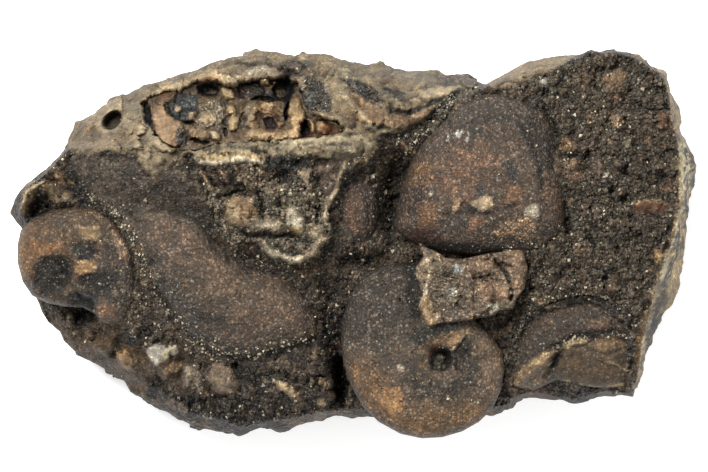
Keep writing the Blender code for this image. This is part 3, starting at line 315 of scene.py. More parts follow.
# Each area is colour, grit from 0 (smooth) to 1 (sandy), softness of its border, path.
ROCK_AREAS = [
    ((102, 93, 80), 1.00, 1.2, PLATEAU),
    ((92, 82, 71), 0.40, 0.6, [(-50.5, 15.4), (-46, 15), (-38, 15), (-36, 11.6), (-33, 12.4), (-30, 14.6),
        (-28, 13), (-26, 9.4), (-25, 5), (-25, 2), (-28, 0), (-36, 0), (-39.6, 0.6), (-41, 4.6), (-43.4, 6.6),
        (-46.5, 7.8), (-48.5, 10.4), (-50, 13)]),
    ((66, 54, 40), 0.60, 0.8, [(-63, 4), (-62, 10), (-56, 15), (-51, 16), (-50, 12), (-48.6, 8), (-50, 5),
        (-56, 3), (-59, 1), (-62, 1)]),
    ((90, 70, 46), 0.35, 0.8, [(-55, -12), (-49, -14.4), (-46, -15.5), (-44, -14.5), (-42, -10.5),
        (-39.8, -14), (-40, -17), (-36.5, -17.5), (-31, -17.5), (-28.5, -20.5), (-27, -24), (-28, -26.5),
        (-31, -26), (-34, -23.4), (-37, -26.4), (-41, -28), (-50, -24), (-57, -14)]),
    ((73, 66, 58), 0.70, 1.2, [(-20, -19), (-13, -18.6), (-6, -17), (-4, -21), (-4.4, -28), (-8, -29),
        (-14, -28), (-20, -26.6)]),
    ((52, 48, 43), 1.00, 1, [(-34, -24), (-27, -27), (-20, -27.2), (-12, -28.4), (-5, -29), (-4, -36),
        (-30, -36), (-36, -28)]),
    ((88, 78, 62), 0.50, 0.8, [(-41, -26), (-37, -27), (-32, -29.8), (-28.6, -32), (-24, -33), (-28, -36),
        (-44, -30)]),
    # Dark strip in the valley left of the lower middle ammonite: painted shadow.
    ((36, 31, 27), 1.00, 0.8, [(-6, -8), (-3, -8), (-1.6, -14), (-1.8, -20), (-0.4, -27), (-3.6, -29),
        (-5, -24), (-5.6, -16)]),
    ((118, 94, 62), 0.25, 0.3, [(49.2, -16.4), (51.2, -14.6), (51, -20), (50.4, -26.6), (48.4, -27.2),
        (49.4, -22)]),
    ((60, 52, 44), 0.70, 0.8, [(23, -27), (27, -26), (31, -27), (34, -24.4), (40, -25.6), (47, -26),
        (48, -30), (24, -33)]),
    ((100, 74, 52), 0.40, 0.5, [(30.6, -26.2), (33.4, -25), (35.2, -26.4), (33, -28), (30.4, -27.6)]),
    # The olive stone of the broken upper edge, from left to right.
    ((134, 118, 93), 0.20, 0.25, OLIVE_FACE),
    ((146, 128, 98), 0.15, 0.3, [(22.8, 27.7), (25, 27), (28, 27.2), (31, 28.6), (34.5, 30), (36.5, 31),
        (38.5, 32.4), (37, 36), (22, 33)]),
    # Near-black in the bore hole: painted shade.
    ((16, 13, 10), 0.40, 0.3, [(-43.9, 20.2), (-43.5, 21.9), (-42.4, 22.9), (-41.2, 22.7), (-41, 21.4),
        (-42.1, 20.3), (-43.3, 19.8)]),
    ((102, 78, 53), 0.30, 0.6, [(-49, 20.4), (-46.4, 20.5), (-44.4, 19.8), (-44.4, 18.2), (-46.6, 18.4),
        (-49, 18.8)]),
    ((118, 97, 68), 0.30, 0.6, [(-51, 16.6), (-47, 17.4), (-44.4, 18.4), (-44.8, 20), (-48.6, 20.4),
        (-50, 19)]),
    ((154, 138, 110), 0.12, 0.5, [(-46.5, 22), (-44, 24.6), (-40.5, 25.6), (-38, 24), (-38.5, 21.8),
        (-40, 20.2), (-43.5, 19.4), (-46, 20.6)]),
    ((168, 152, 124), 0.15, 0.3, [(-38.4, 18), (-37, 14), (-35.5, 11.8), (-33, 13.2), (-31, 15.3),
        (-32.6, 16.8), (-35, 19), (-37, 20.6)]),
    ((150, 130, 100), 0.20, 0.6, [(-45, 16.6), (-41, 17.2), (-38, 17.6), (-38, 20.8), (-41.6, 19),
        (-45, 18.2)]),
    ((112, 102, 82), 0.30, 0.5, [(-46, 24.4), (-40, 26.6), (-30, 30.2), (-19, 33.4), (-17, 36), (-30, 36),
        (-46, 30)]),
    ((164, 143, 108), 0.15, 0.4, [(-38.4, 24.6), (-33, 27.4), (-27, 29.8), (-21.4, 31), (-21.4, 29.4),
        (-26, 29.4), (-30.6, 27.6), (-36, 25.6)]),
    ((120, 72, 40), 0.20, 0.35, [(-28.4, 27.6), (-26.4, 29), (-23.8, 28.6), (-22.8, 27.4), (-24.4, 27.9),
        (-26.4, 28.1)]),
    ((150, 131, 99), 0.30, 0.5, [(-18, 33.8), (-12, 33), (-7, 33.2), (-3, 32), (0, 30.6), (-3, 30),
        (-8, 31.2), (-13, 31.2), (-17, 31.6)]),
    ((66, 54, 40), 0.50, 0.5, [(-20.4, 32), (-14, 31.4), (-10, 32.2), (-6.4, 31), (-10, 30), (-14, 30.6),
        (-18.6, 30.6)]),
    ((194, 182, 158), 0.25, 0.25, [(-18.6, 30.2), (-16.5, 31.1), (-14.7, 30.5), (-14.8, 29.8), (-16.6, 29.9),
        (-18.5, 29.4)]),
    ((172, 152, 118), 0.20, 0.3, [(-24, 30), (-21.6, 30.4), (-19.6, 29.2), (-21.4, 28.4), (-23.4, 29)]),
    ((50, 42, 34), 0.60, 0.3, [(-13.6, 30.4), (-11, 31), (-8.6, 29.4), (-10.4, 28.6), (-12, 29.4)]),
    ((88, 84, 76), 1.00, 0.35, [(-9.6, 27.4), (-8, 29.6), (-5.8, 28.4), (-3.9, 25.4), (-4, 22.8),
        (-7.6, 22.8), (-9.2, 25)]),
    ((158, 138, 106), 0.20, 0.4, [(-4, 28.4), (-2, 27.6), (-0.8, 25.6), (-1, 22.4), (-3.6, 22.4),
        (-3.8, 25.6)]),
    ((150, 120, 86), 0.20, 0.4, [(-0.8, 26.4), (2, 24.6), (5.6, 23), (5.4, 20.8), (1.6, 21), (-0.8, 22)]),
    ((62, 60, 54), 1.00, 0.3, [(-2.6, 29), (0.5, 28.8), (3.6, 27), (5, 25), (3.4, 24.2), (1.4, 25.6),
        (-0.6, 27.2)]),
    ((172, 156, 124), 0.15, 0.25, [(-4.2, 31.6), (-1, 30.6), (0.6, 28.6), (-1.4, 28.6), (-3, 30)]),
    ((134, 118, 90), 0.20, 0.4, [(-0.6, 31), (3, 30.4), (4.6, 27.6), (3, 27.8), (0.6, 29)]),
    ((118, 107, 87), 0.12, 0.4, [(3.4, 28.6), (6, 31), (14, 30.4), (15.4, 28.8), (13.4, 27.4), (9, 28.4),
        (5, 27.6)]),
    ((92, 72, 50), 0.25, 0.5, [(3.8, 28.4), (6.6, 29.8), (7.4, 28.8), (5.4, 27.6)]),
    ((166, 146, 106), 0.12, 0.3, [(8.8, 26.2), (12.4, 28.2), (13, 27.4), (11, 26)]),
    ((168, 152, 121), 0.08, 0.2, [(11.8, 25.4), (12.3, 26.9), (15, 27.9), (18.7, 27.2), (17.5, 25.8),
        (14.6, 25)]),
    ((132, 114, 88), 0.20, 0.4, [(6.8, 24.2), (9.4, 26), (12, 25.4), (14.4, 25), (11.8, 23.6), (9, 22.9)]),
    ((78, 60, 41), 0.50, 0.5, [(14.6, 28.8), (17, 30.2), (21, 29.6), (22.6, 28.2), (19, 27.8), (16, 28.1)]),
    ((96, 94, 80), 0.30, 0.2, [(5.5, 26.8), (7.5, 26.9), (8.8, 26), (8, 25), (6, 25.5)]),
    ((136, 110, 84), 0.30, 0.4, [(4.4, 22.6), (9.8, 22.4), (13, 23.4), (15.8, 24.8), (13, 21.8), (10, 20.2),
        (5, 20.6)]),
    ((158, 140, 108), 0.15, 0.25, [(1, 19.6), (5, 20), (9.4, 20), (8.6, 18.8), (5, 19.2), (2, 18.8)]),
    # The ledge below the hollow and the pale band on the knob's top.
    ((146, 134, 110), 0.12, 0.25, [(-26, 16.6), (-18, 17.4), (-8, 18.4), (0, 18.8), (3.4, 18.2), (4.2, 16.6),
        (3, 14.6), (0.4, 13.7), (-1.4, 14.4), (-8, 14.9), (-14.6, 15.2), (-19, 16)]),
    ((190, 175, 143), 0.10, 0.3, [(-13, 17.4), (-6, 18.5), (0.6, 18.5), (3.6, 18.2), (3.9, 16.8), (1.4, 17.6),
        (-6, 17.5)]),
    ((162, 143, 108), 0.20, 0.3, [(-1.2, 14.6), (1.4, 14.9), (3.6, 15.8), (2.6, 14.4), (0.4, 13.7)]),
    ((166, 146, 108), 0.15, 0.25, [(-27.6, 14.8), (-26, 16), (-22, 16.3), (-18, 15.8), (-15.2, 15),
        (-15.6, 14.2), (-19, 14.6), (-23.5, 13.9), (-26.4, 13.4)]),
    ((214, 202, 176), 0.15, 0.25, [(-27.4, 14.4), (-25, 14.4), (-23, 14.2), (-20, 15.1), (-17, 14.4),
        (-15.3, 14.6), (-15.8, 13.6), (-18, 13.6), (-20.4, 14), (-22.6, 13.5), (-25.6, 13.3)]),
    # The sandy knob and what is in it.
    ((140, 130, 112), 0.90, 0.3, [(-28, 13.2), (-26, 13.1), (-21, 13.6), (-15.4, 13.6), (-15, 15), (-8, 14.8),
        (-6.6, 14.4), (-6, 9.6), (-4.4, 5.4), (-3.8, 1.5), (-6.3, -2.2), (-9.5, -3.8), (-13.5, -3.2),
        (-19.5, -3.2), (-21.5, -1), (-24, 2), (-25, 6), (-26, 10)]),
    ((74, 60, 49), 0.80, 0.3, [(-27.6, 12.8), (-24, 13.2), (-20.6, 12.8), (-20, 10), (-24, 9.4), (-27, 10)]),
    ((150, 132, 110), 0.90, 0.4, [(-21.6, 13.8), (-17, 13.9), (-14.6, 12), (-14.4, 10.2), (-17.4, 9.4),
        (-19.4, 10.4)]),
    ((66, 68, 66), 1.00, 0.3, [(-15, 15.1), (-8, 14.9), (-7.4, 12.9), (-11, 12.8), (-14.6, 12.6)]),
    ((24, 22, 20), 0.80, 0.4, [(-14.6, 12.8), (-10.8, 13), (-11, 11.2), (-14, 11.4)]),
    ((114, 98, 84), 0.30, 0.25, [(-6.6, 14.4), (-1.2, 14.2), (-2.4, 11.8), (-3.4, 8.4), (-4.9, 7),
        (-5.4, 9.6), (-6.2, 12)]),
    ((198, 178, 148), 0.10, 0.2, [(-1.6, 14.3), (-0.9, 14.3), (-2.1, 11.6), (-2.8, 8.8), (-4.3, 6.4),
        (-4.6, 3), (-5.2, 3), (-5, 6.8), (-3.6, 8.8), (-2.9, 11.6)]),
    ((160, 132, 102), 0.25, 0.2, [(-22.8, 4), (-22.2, 6.6), (-20.4, 8.4), (-18, 8), (-16.8, 6.2),
        (-16.4, 4.4), (-17.2, 3), (-20, 2.8)]),
    ((178, 158, 126), 0.15, 0.3, [(-22.6, 3.8), (-22, 6.4), (-20.8, 7.2), (-20, 5), (-19.4, 3.2)]),
    ((176, 160, 134), 0.40, 0.35, [(-18.6, 4.2), (-14.8, 4.4), (-12.6, 4.6), (-11.6, 7.6), (-10.2, 6.6),
        (-8.6, 4.2), (-6.6, 3.2), (-4.4, 2.4), (-5, 0.4), (-7.6, 0.8), (-9, 1.6), (-12.4, 2.3), (-16, 2.3),
        (-18.6, 2.5)]),
    ((222, 212, 190), 0.25, 0.25, [(-11.4, 7), (-10.4, 5.6), (-8.8, 4), (-9.2, 2.8), (-11.4, 3), (-12, 4.4)]),
    ((196, 182, 156), 0.30, 0.25, [(-17.4, 3.8), (-14.6, 3.6), (-12.6, 3.6), (-13, 2.6), (-17, 2.6)]),
    ((174, 152, 104), 0.15, 0.25, [(-11.6, 2.6), (-9.4, 2.8), (-9, 1.6), (-10.6, 1.2)]),
    ((42, 36, 30), 0.60, 0.2, [(-19.4, 2.1), (-15, 1.9), (-11.8, 1.7), (-10, 0.9), (-13, 0.7), (-17.6, 0.9),
        (-19.6, 1.3)]),
    ((40, 33, 28), 0.80, 0.4, [(-20.4, 0.4), (-16.4, 0.4), (-16, -2.4), (-19.4, -3), (-20.8, -1.6)]),
    ((126, 120, 106), 0.90, 0.3, [(-16, 0.4), (-12, 0.8), (-8, 0.4), (-5, 1), (-6, -1.6), (-9, -3),
        (-12.4, -3), (-15, -1.6)]),
    ((176, 158, 132), 0.30, 0.3, [(-8.4, -3.1), (-6, -1.6), (-4.4, 1.4), (-5.6, 1.8), (-6.8, 0.2), (-8, -1),
        (-9.6, -1.8)]),
    ((204, 192, 166), 0.15, 0.3, [(-16.3, 0.6), (-16, -1), (-14.4, -2.7), (-11.6, -3.8), (-8.4, -3.4),
        (-7.4, -2.2), (-9, -2), (-11.6, -2.3), (-13.4, -1.4), (-15, 0.2)]),
    ((214, 190, 160), 0.05, 0.12, [(-9.9, 12.5), (-7.2, 13.1), (-7.6, 11.6), (-7.9, 9.9), (-8.8, 11)]),
    ((134, 112, 86), 0.30, 0.2, [(-24.8, 2.8), (-24.2, 2.8), (-21.8, 0), (-20, -2.6), (-20.5, -3),
        (-22.4, -0.6)]),
    # Chips and crystals of the lower left.
    ((118, 90, 62), 0.25, 0.5, [(-45, -11), (-43.6, -9.8), (-41.8, -10.6), (-41, -13), (-42.6, -14.6),
        (-45, -13.4)]),
    ((36, 34, 30), 0.80, 0.4, [(-50, -12.4), (-46.6, -11.6), (-45.4, -13.4), (-47, -15), (-50, -14.4)]),
    ((46, 44, 42), 0.60, 0.3, [(-40.4, -16), (-38.4, -15.2), (-37.2, -16.6), (-38.2, -18.2), (-40, -17.8)]),
    ((150, 122, 88), 0.20, 0.3, [(-41.6, -19.4), (-40.4, -18.8), (-39, -20.2), (-39.2, -22.2), (-41, -21.8)]),
    ((200, 194, 180), 0.10, 0.2, [(-36.6, -19), (-35, -17.7), (-33, -18), (-33.4, -20.4), (-34.4, -21.8),
        (-35.6, -20.6)]),
    ((222, 210, 176), 0.05, 0.15, [(-33.6, -19), (-32.6, -18.4), (-32.3, -20), (-33, -21.4), (-33.8, -20.6)]),
    ((186, 176, 152), 0.10, 0.2, [(-32.6, -17.9), (-31.2, -18), (-30.8, -19.4), (-32, -20)]),
    ((142, 114, 82), 0.50, 0.35, [(-33.2, -20.8), (-31.4, -19.8), (-29.8, -21.6), (-30.8, -23.2),
        (-33.4, -22.8)]),
    ((160, 148, 128), 0.35, 0.4, [(-30, -21.8), (-28, -21.2), (-26.6, -23.2), (-26.5, -25.8), (-28.6, -26.2),
        (-30, -24.4)]),
    ((132, 112, 92), 0.25, 0.3, [(-25.4, -22.4), (-24.2, -20.7), (-22, -21.6), (-20.1, -24.4), (-20.4, -26.4),
        (-23, -27), (-25.2, -25.8)]),
    # Near-black beside the cone: painted shadow.
    ((14, 12, 10), 0.40, 0.25, [(-21.8, -21.4), (-20.4, -20.8), (-20, -22.6), (-21.2, -22.4)]),
    ((196, 172, 136), 0.15, 0.15, [(-13.8, -24), (-11.6, -24.6), (-9.7, -26.4), (-9.5, -27.7), (-11.4, -26.8),
        (-13.4, -25.4)]),
    ((158, 136, 100), 0.25, 0.2, [(-6.4, -27.6), (-5.2, -27.2), (-4.6, -28.4), (-5.8, -29)]),
    ((130, 114, 90), 0.35, 0.3, [(-6, -24), (-4.4, -23.6), (-3.8, -25.2), (-5.4, -25.8)]),
    ((134, 112, 86), 0.35, 0.25, [(-11, -28.8), (-9.8, -28.6), (-9.4, -29.8), (-10.6, -29.8)]),
    ((140, 122, 98), 0.35, 0.2, [(-7.5, -18.6), (-6.6, -18.4), (-6.4, -20.6), (-7.4, -20.4)]),
    # The bump at the left edge.
    ((46, 41, 35), 0.90, 0.4, [(-58, 4), (-57.2, 7.6), (-55.6, 8.8), (-52.8, 8.4), (-52, 6.4), (-54.4, 5.2),
        (-56.6, 3.4)]),
    ((138, 120, 90), 0.30, 0.3, [(-58.4, 5), (-57.6, 8.6), (-55.4, 10.4), (-52.8, 10), (-51.6, 7.4),
        (-52.4, 7), (-53.6, 9), (-55.6, 9.4), (-56.8, 7.8), (-57.6, 5)]),
    ((110, 82, 56), 0.30, 0.4, [(-54, 12.4), (-51.6, 13), (-50.6, 10.4), (-51.8, 9.6), (-53.6, 11)]),
    ((176, 150, 112), 0.15, 0.12, [(-50.9, 9.6), (-49.3, 8.2), (-50.6, 7.2), (-51, 8)]),
    ((26, 23, 20), 0.70, 0.3, [(-49.6, 10.6), (-47.6, 8.4), (-46.4, 6.6), (-48, 6.2), (-49.2, 8)]),
    # Chips of the right-hand face.
    ((146, 120, 92), 0.45, 0.4, [(43, 27.6), (43.6, 29.6), (46.4, 30.6), (48, 29.6), (47, 27.4),
        (44.8, 26.4)]),
    ((124, 104, 80), 0.80, 0.5, [(44, 26.4), (47.4, 27), (48.4, 25.2), (45.4, 24.6)]),
    ((146, 122, 94), 0.45, 0.4, [(44.4, 22.2), (46, 22.8), (47.4, 21.4), (47, 19.8), (45, 20)]),
    ((132, 122, 97), 0.10, 0.15, [(46.7, 17.4), (47.2, 18.3), (48.3, 18.2), (48.6, 17), (47.6, 16.2)]),
    ((120, 106, 94), 0.30, 0.25, [(44.8, 17), (45.8, 17.8), (46.7, 17), (46.2, 15.9), (45, 16)]),
    ((140, 114, 86), 0.60, 0.4, [(35.6, 17), (36.8, 18.6), (38.8, 17.8), (38.6, 16), (36.4, 15.6)]),
    ((130, 104, 80), 0.60, 0.5, [(35.8, 13), (37, 14.8), (39.6, 14.6), (40.4, 12), (39, 10.4), (36.6, 11)]),
    ((118, 98, 84), 0.40, 0.3, [(41, 13.6), (42.2, 15.4), (43.6, 14.8), (43.2, 12.4), (41.6, 12)]),
    ((104, 70, 46), 0.10, 0.15, [(48, 6), (49.8, 7.2), (52.6, 7.5), (55, 6.4), (54.4, 5.3), (50.4, 5.2)]),
    ((112, 84, 64), 0.70, 0.6, [(53.4, 23), (55.4, 22.4), (55.8, 19.4), (54.2, 18.6), (53, 20.4)]),
    ((112, 88, 66), 0.70, 0.5, [(53, 10.6), (55.6, 11), (55.8, 9), (53.4, 8.8)]),
    ((154, 128, 96), 0.50, 0.3, [(40.4, 22.4), (42, 22.2), (42.2, 20.8), (40.6, 20.8)]),
    ((146, 122, 92), 0.50, 0.3, [(38.4, -0.4), (40, -0.6), (40, -1.9), (38.6, -1.8)]),
    ((152, 126, 90), 0.40, 0.3, [(52.2, -0.8), (53.8, -1.2), (54, -3.8), (52.8, -3.8)]),
    ((142, 118, 88), 0.50, 0.3, [(44.8, -5), (46.2, -5.2), (46.2, -8.6), (45, -8.2)]),
    ((178, 150, 114), 0.25, 0.15, [(11.2, 0.4), (12.4, -0.6), (14.6, -1.2), (13.2, -2.1), (11.8, -1.8)]),
    ((168, 138, 106), 0.25, 0.15, [(8.2, 17.6), (9.1, 18), (9.5, 16), (9.1, 15.4)]),
    ((204, 200, 192), 0.20, 0.15, [(32.4, 28.4), (33.4, 28.6), (33.8, 27.8), (32.8, 27.6)]),
    # The broken right-hand side, layer by layer: cream stone, its colours made brighter as painted light
    # where the lamps hardly reach the steep wall.
    ((190, 164, 120), 0.30, 0.4, RIGHT_WALL),
    ((252, 236, 192), 0.30, 0.4, [(56.8, 19.2), (59, 16.7), (60, 10.7), (59, 9), (57.7, 3.8), (56.9, 10.7)]),
    ((66, 59, 48), 0.60, 0.4, [(59.2, 18), (61, 15), (61, 8), (59.2, 1), (58.2, 1), (58.8, 6.4), (59.8, 9),
        (59.8, 14.8)]),
    ((222, 198, 150), 0.30, 0.4, [(58, 5.6), (58.6, 0.4), (58.2, -3), (56.8, -6.4), (54.3, -10.7),
        (52.6, -12.4), (51.7, -8.9), (56, -2.1), (57.4, 3)]),
    ((118, 106, 82), 0.40, 0.3, [(56.2, 4), (57, 1), (56.2, -3), (53.6, -7.6), (52.4, -9.4), (52.8, -7),
        (55.4, -2)]),
    ((66, 62, 55), 0.70, 0.4, [(51.6, -10.4), (53.6, -8), (55.6, -9.4), (54, -14.4), (52.4, -19), (51, -23),
        (50.6, -18)]),
]
# Lines of pale cemented grains: half width and path.
PALE_LINES = [
    (1.5, [(-46.5, 8.6), (-42, 5.6), (-38.6, 0.4), (-36.8, -5), (-34.6, -9.4)]),
    
        (1.1, [(-34.6, -9.4), (-31, -13.6), (-28, -16.8), (-24, -19.4), (-19.6, -19.8), (-13.6, -18.4),
            (-8, -16.6)]),
    (1.3, [(-29.6, -16.4), (-27, -19), (-23.6, -20.4)]),
    (0.8, [(28, -17.6), (31, -11.8), (34, -9.6), (38, -8.6), (45, -9.6), (49.4, -13.8)]),
    (0.7, [(36, -18.2), (38.4, -16.6), (42, -16.2), (47.4, -16), (50, -17.6)]),
    (0.9, [(-14.6, 6.4), (-12, 9), (-8.6, 9.4), (-5.4, 8.4)]),
    (0.9, [(-17.6, 12.8), (-14.6, 10.4), (-12, 5.6)]),
    (1, [(8.6, 14.6), (12.6, 20), (17.6, 25.4), (23.4, 28)]),
    (0.8, [(0.6, 14.6), (5.6, 16.8), (9, 18.2)]),
    (0.8, [(26, -1.6), (29.6, 0.4), (33.6, -0.6), (36.6, 1)]),
    (0.7, [(-57.6, 9.4), (-53.6, 13.6), (-50.4, 15.4)]),
    (0.7, [(-20.6, 0.6), (-18.6, -2.6), (-14.6, -4), (-8.6, -4.2)]),
]
# Thin streaks and cracks: colour, grit, half width, path.
ROCK_STREAKS = [
    ((34, 30, 25), 0.8, 0.4, [(6.3, 24.3), (6.5, 23), (10, 22.7), (12.5, 23.8), (15, 25), (18, 26.1),
        (22.4, 27.8)]),
    ((30, 27, 23), 0.9, 0.7, [(6.4, 18.6), (9.6, 19.4), (12.4, 20.8), (14.4, 23), (17.4, 25.4)]),
    ((70, 58, 42), 0.4, 0.2, [(4.2, 20.4), (7, 19.8), (9.6, 19.9), (12.4, 21.6)]),
    ((184, 166, 132), 0.1, 0.4, [(-1.4, 25.6), (0.4, 23.2), (3, 20.8)]),
    ((92, 80, 62), 0.3, 0.15, [(-14.5, 16.2), (-8, 16.5), (-4.6, 16.8), (-2.4, 17.2), (-1, 17.1)]),
    ((92, 78, 60), 0.3, 0.15, [(-3.6, 19), (0, 18.9), (3.6, 19.4)]),
    ((46, 40, 32), 0.5, 0.25, [(5.4, 26.9), (7.6, 27), (8.9, 26), (8.1, 24.9)]),
    ((54, 46, 36), 0.5, 0.25, [(14.4, 28.2), (18, 27.6), (22, 27.9)]),
    ((86, 70, 50), 0.3, 0.2, [(9.6, 26.6), (12.4, 27.2), (15, 28)]),
    ((70, 60, 48), 0.5, 0.25, [(-24.9, 15.5), (-24, 15.5)]),
    ((96, 84, 66), 0.3, 0.25, [(-26.4, 16.4), (-22.4, 17), (-18.4, 16.4), (-16, 15.6)]),
    ((214, 200, 166), 0.1, 0.22, [(50.2, -24), (50.5, -18), (51.6, -13), (52.9, -8.6), (54.4, -4), (56.2, 1),
        (57, 6)]),
    ((190, 176, 140), 0.3, 0.3, [(51, -17), (52.2, -12.4), (53.8, -7.6), (55.4, -3.6)]),
    ((40, 34, 26), 0.5, 0.3, [(57.3, 19), (58.2, 15.4), (58.3, 11), (57.5, 6.6), (58, 2.4)]),
    ((70, 58, 42), 0.5, 0.2, [(58.4, 17), (59.2, 13.4), (59, 10.4)]),
    ((48, 42, 33), 0.5, 0.3, [(56.8, 3), (57.4, -1), (55.8, -5), (53, -9.4)]),
    ((64, 60, 52), 0.5, 0.4, [(51.6, -16), (52.8, -11), (54.8, -5.6), (57, 1)]),
    ((150, 122, 84), 0.4, 0.6, [(50.2, -16), (51.2, -12), (52.2, -8.4)]),
    ((72, 45, 32), 0.3, 0.4, [(42.6, 11.2), (44.4, 13)]),
    ((20, 17, 14), 0.6, 0.25, [(36, 15.3), (37.6, 15.1), (39.2, 15.2)]),
    ((190, 162, 116), 0.2, 0.22, [(49, 6.9), (50.6, 7.5), (53.2, 7.5), (54.8, 6.7)]),
    # Near-black streaks along the upper middle ammonite's right edge: painted shadow.
    ((14, 11, 9), 0.4, 0.8, [(33.6, 23), (35, 20.8), (35.6, 17.6)]),
    ((14, 11, 9), 0.4, 0.6, [(36.9, 6.6), (37.1, 4.6), (37.3, 1.8)]),
    # Near-black streak in the valley left of the upper middle ammonite: painted shadow.
    ((12, 10, 8), 0.4, 1.5, [(6.4, 1.4), (6.4, 5), (7, 10), (8.2, 14)]),
    ((22, 18, 15), 0.6, 0.9, [(-1, -2.8), (2, -3.6), (5.2, -2.4)]),
    # Painted shadow in the valley left of the lower middle ammonite.
    ((10, 8, 7), 0.4, 1.2, [(-2.4, -18.6), (-2.2, -23.6), (-2, -27.8)]),
    ((26, 22, 18), 0.6, 0.5, [(-50.2, 15), (-49, 11.6), (-47, 8.2)]),
    ((182, 160, 122), 0.2, 0.28, [(-58.2, 6.2), (-57.7, 8.6), (-55.8, 10.2), (-53.9, 10.9)]),
    ((170, 146, 106), 0.2, 0.25, [(-57.2, 5.6), (-56.6, 8.2), (-55, 9.4), (-53.2, 9.4)]),
    ((182, 156, 116), 0.2, 0.28, [(-53.9, 10.9), (-53.2, 8.6), (-53.4, 7.2)]),
    ((160, 138, 104), 0.2, 0.28, [(-52.2, 12.2), (-51.4, 10.4), (-51.6, 8.4)]),
    ((30, 26, 22), 0.6, 0.25, [(-57.4, 9.8), (-55.2, 11.6), (-52.6, 12.4)]),
    ((158, 132, 92), 0.3, 0.22, [(-52.6, 13.6), (-51, 11.6), (-49.4, 10.4)]),
    ((90, 76, 58), 0.5, 0.35, [(-60, 6.6), (-58.8, 9.2), (-55.4, 11.8), (-52.2, 14.6)]),
    ((58, 48, 38), 0.4, 0.4, [(-34.4, -25), (-30, -28), (-27.4, -29.6), (-25.2, -32.4)]),
    ((150, 120, 82), 0.3, 0.3, [(-26.2, -24), (-26, -27), (-25.6, -31)]),
    ((96, 58, 30), 0.2, 0.15, [(-11.4, -24.8), (-10.4, -26), (-10, -27.4)]),
    ((156, 134, 104), 0.2, 0.3, [(24.6, 28.6), (28, 30.2), (32, 31.4)]),
    ((92, 62, 44), 0.4, 0.3, [(24.8, 27.6), (26.6, 28.4), (28.6, 27.8)]),
    ((184, 162, 132), 0.4, 0.2, [(-26.8, 12.8), (-25.4, 10.6), (-24.2, 8.4)]),
    ((184, 162, 132), 0.4, 0.2, [(-25.2, 13), (-23.6, 10.4), (-22.6, 8.6)]),
    ((178, 156, 128), 0.4, 0.2, [(-23.6, 13), (-22, 10.6)]),
    ((196, 180, 152), 0.4, 0.25, [(-21.8, 12.8), (-20, 11.4), (-19, 9.4)]),
    ((160, 146, 122), 0.5, 0.35, [(-28, 12), (-27, 9.6), (-25.4, 7.6), (-24.6, 4.4)]),
    ((176, 162, 136), 0.3, 0.2, [(-11.2, 7), (-12.4, 5), (-13.6, 4.2)]),
    ((190, 172, 142), 0.3, 0.22, [(-17.2, 13), (-15.6, 12), (-14.4, 10.2)]),
]

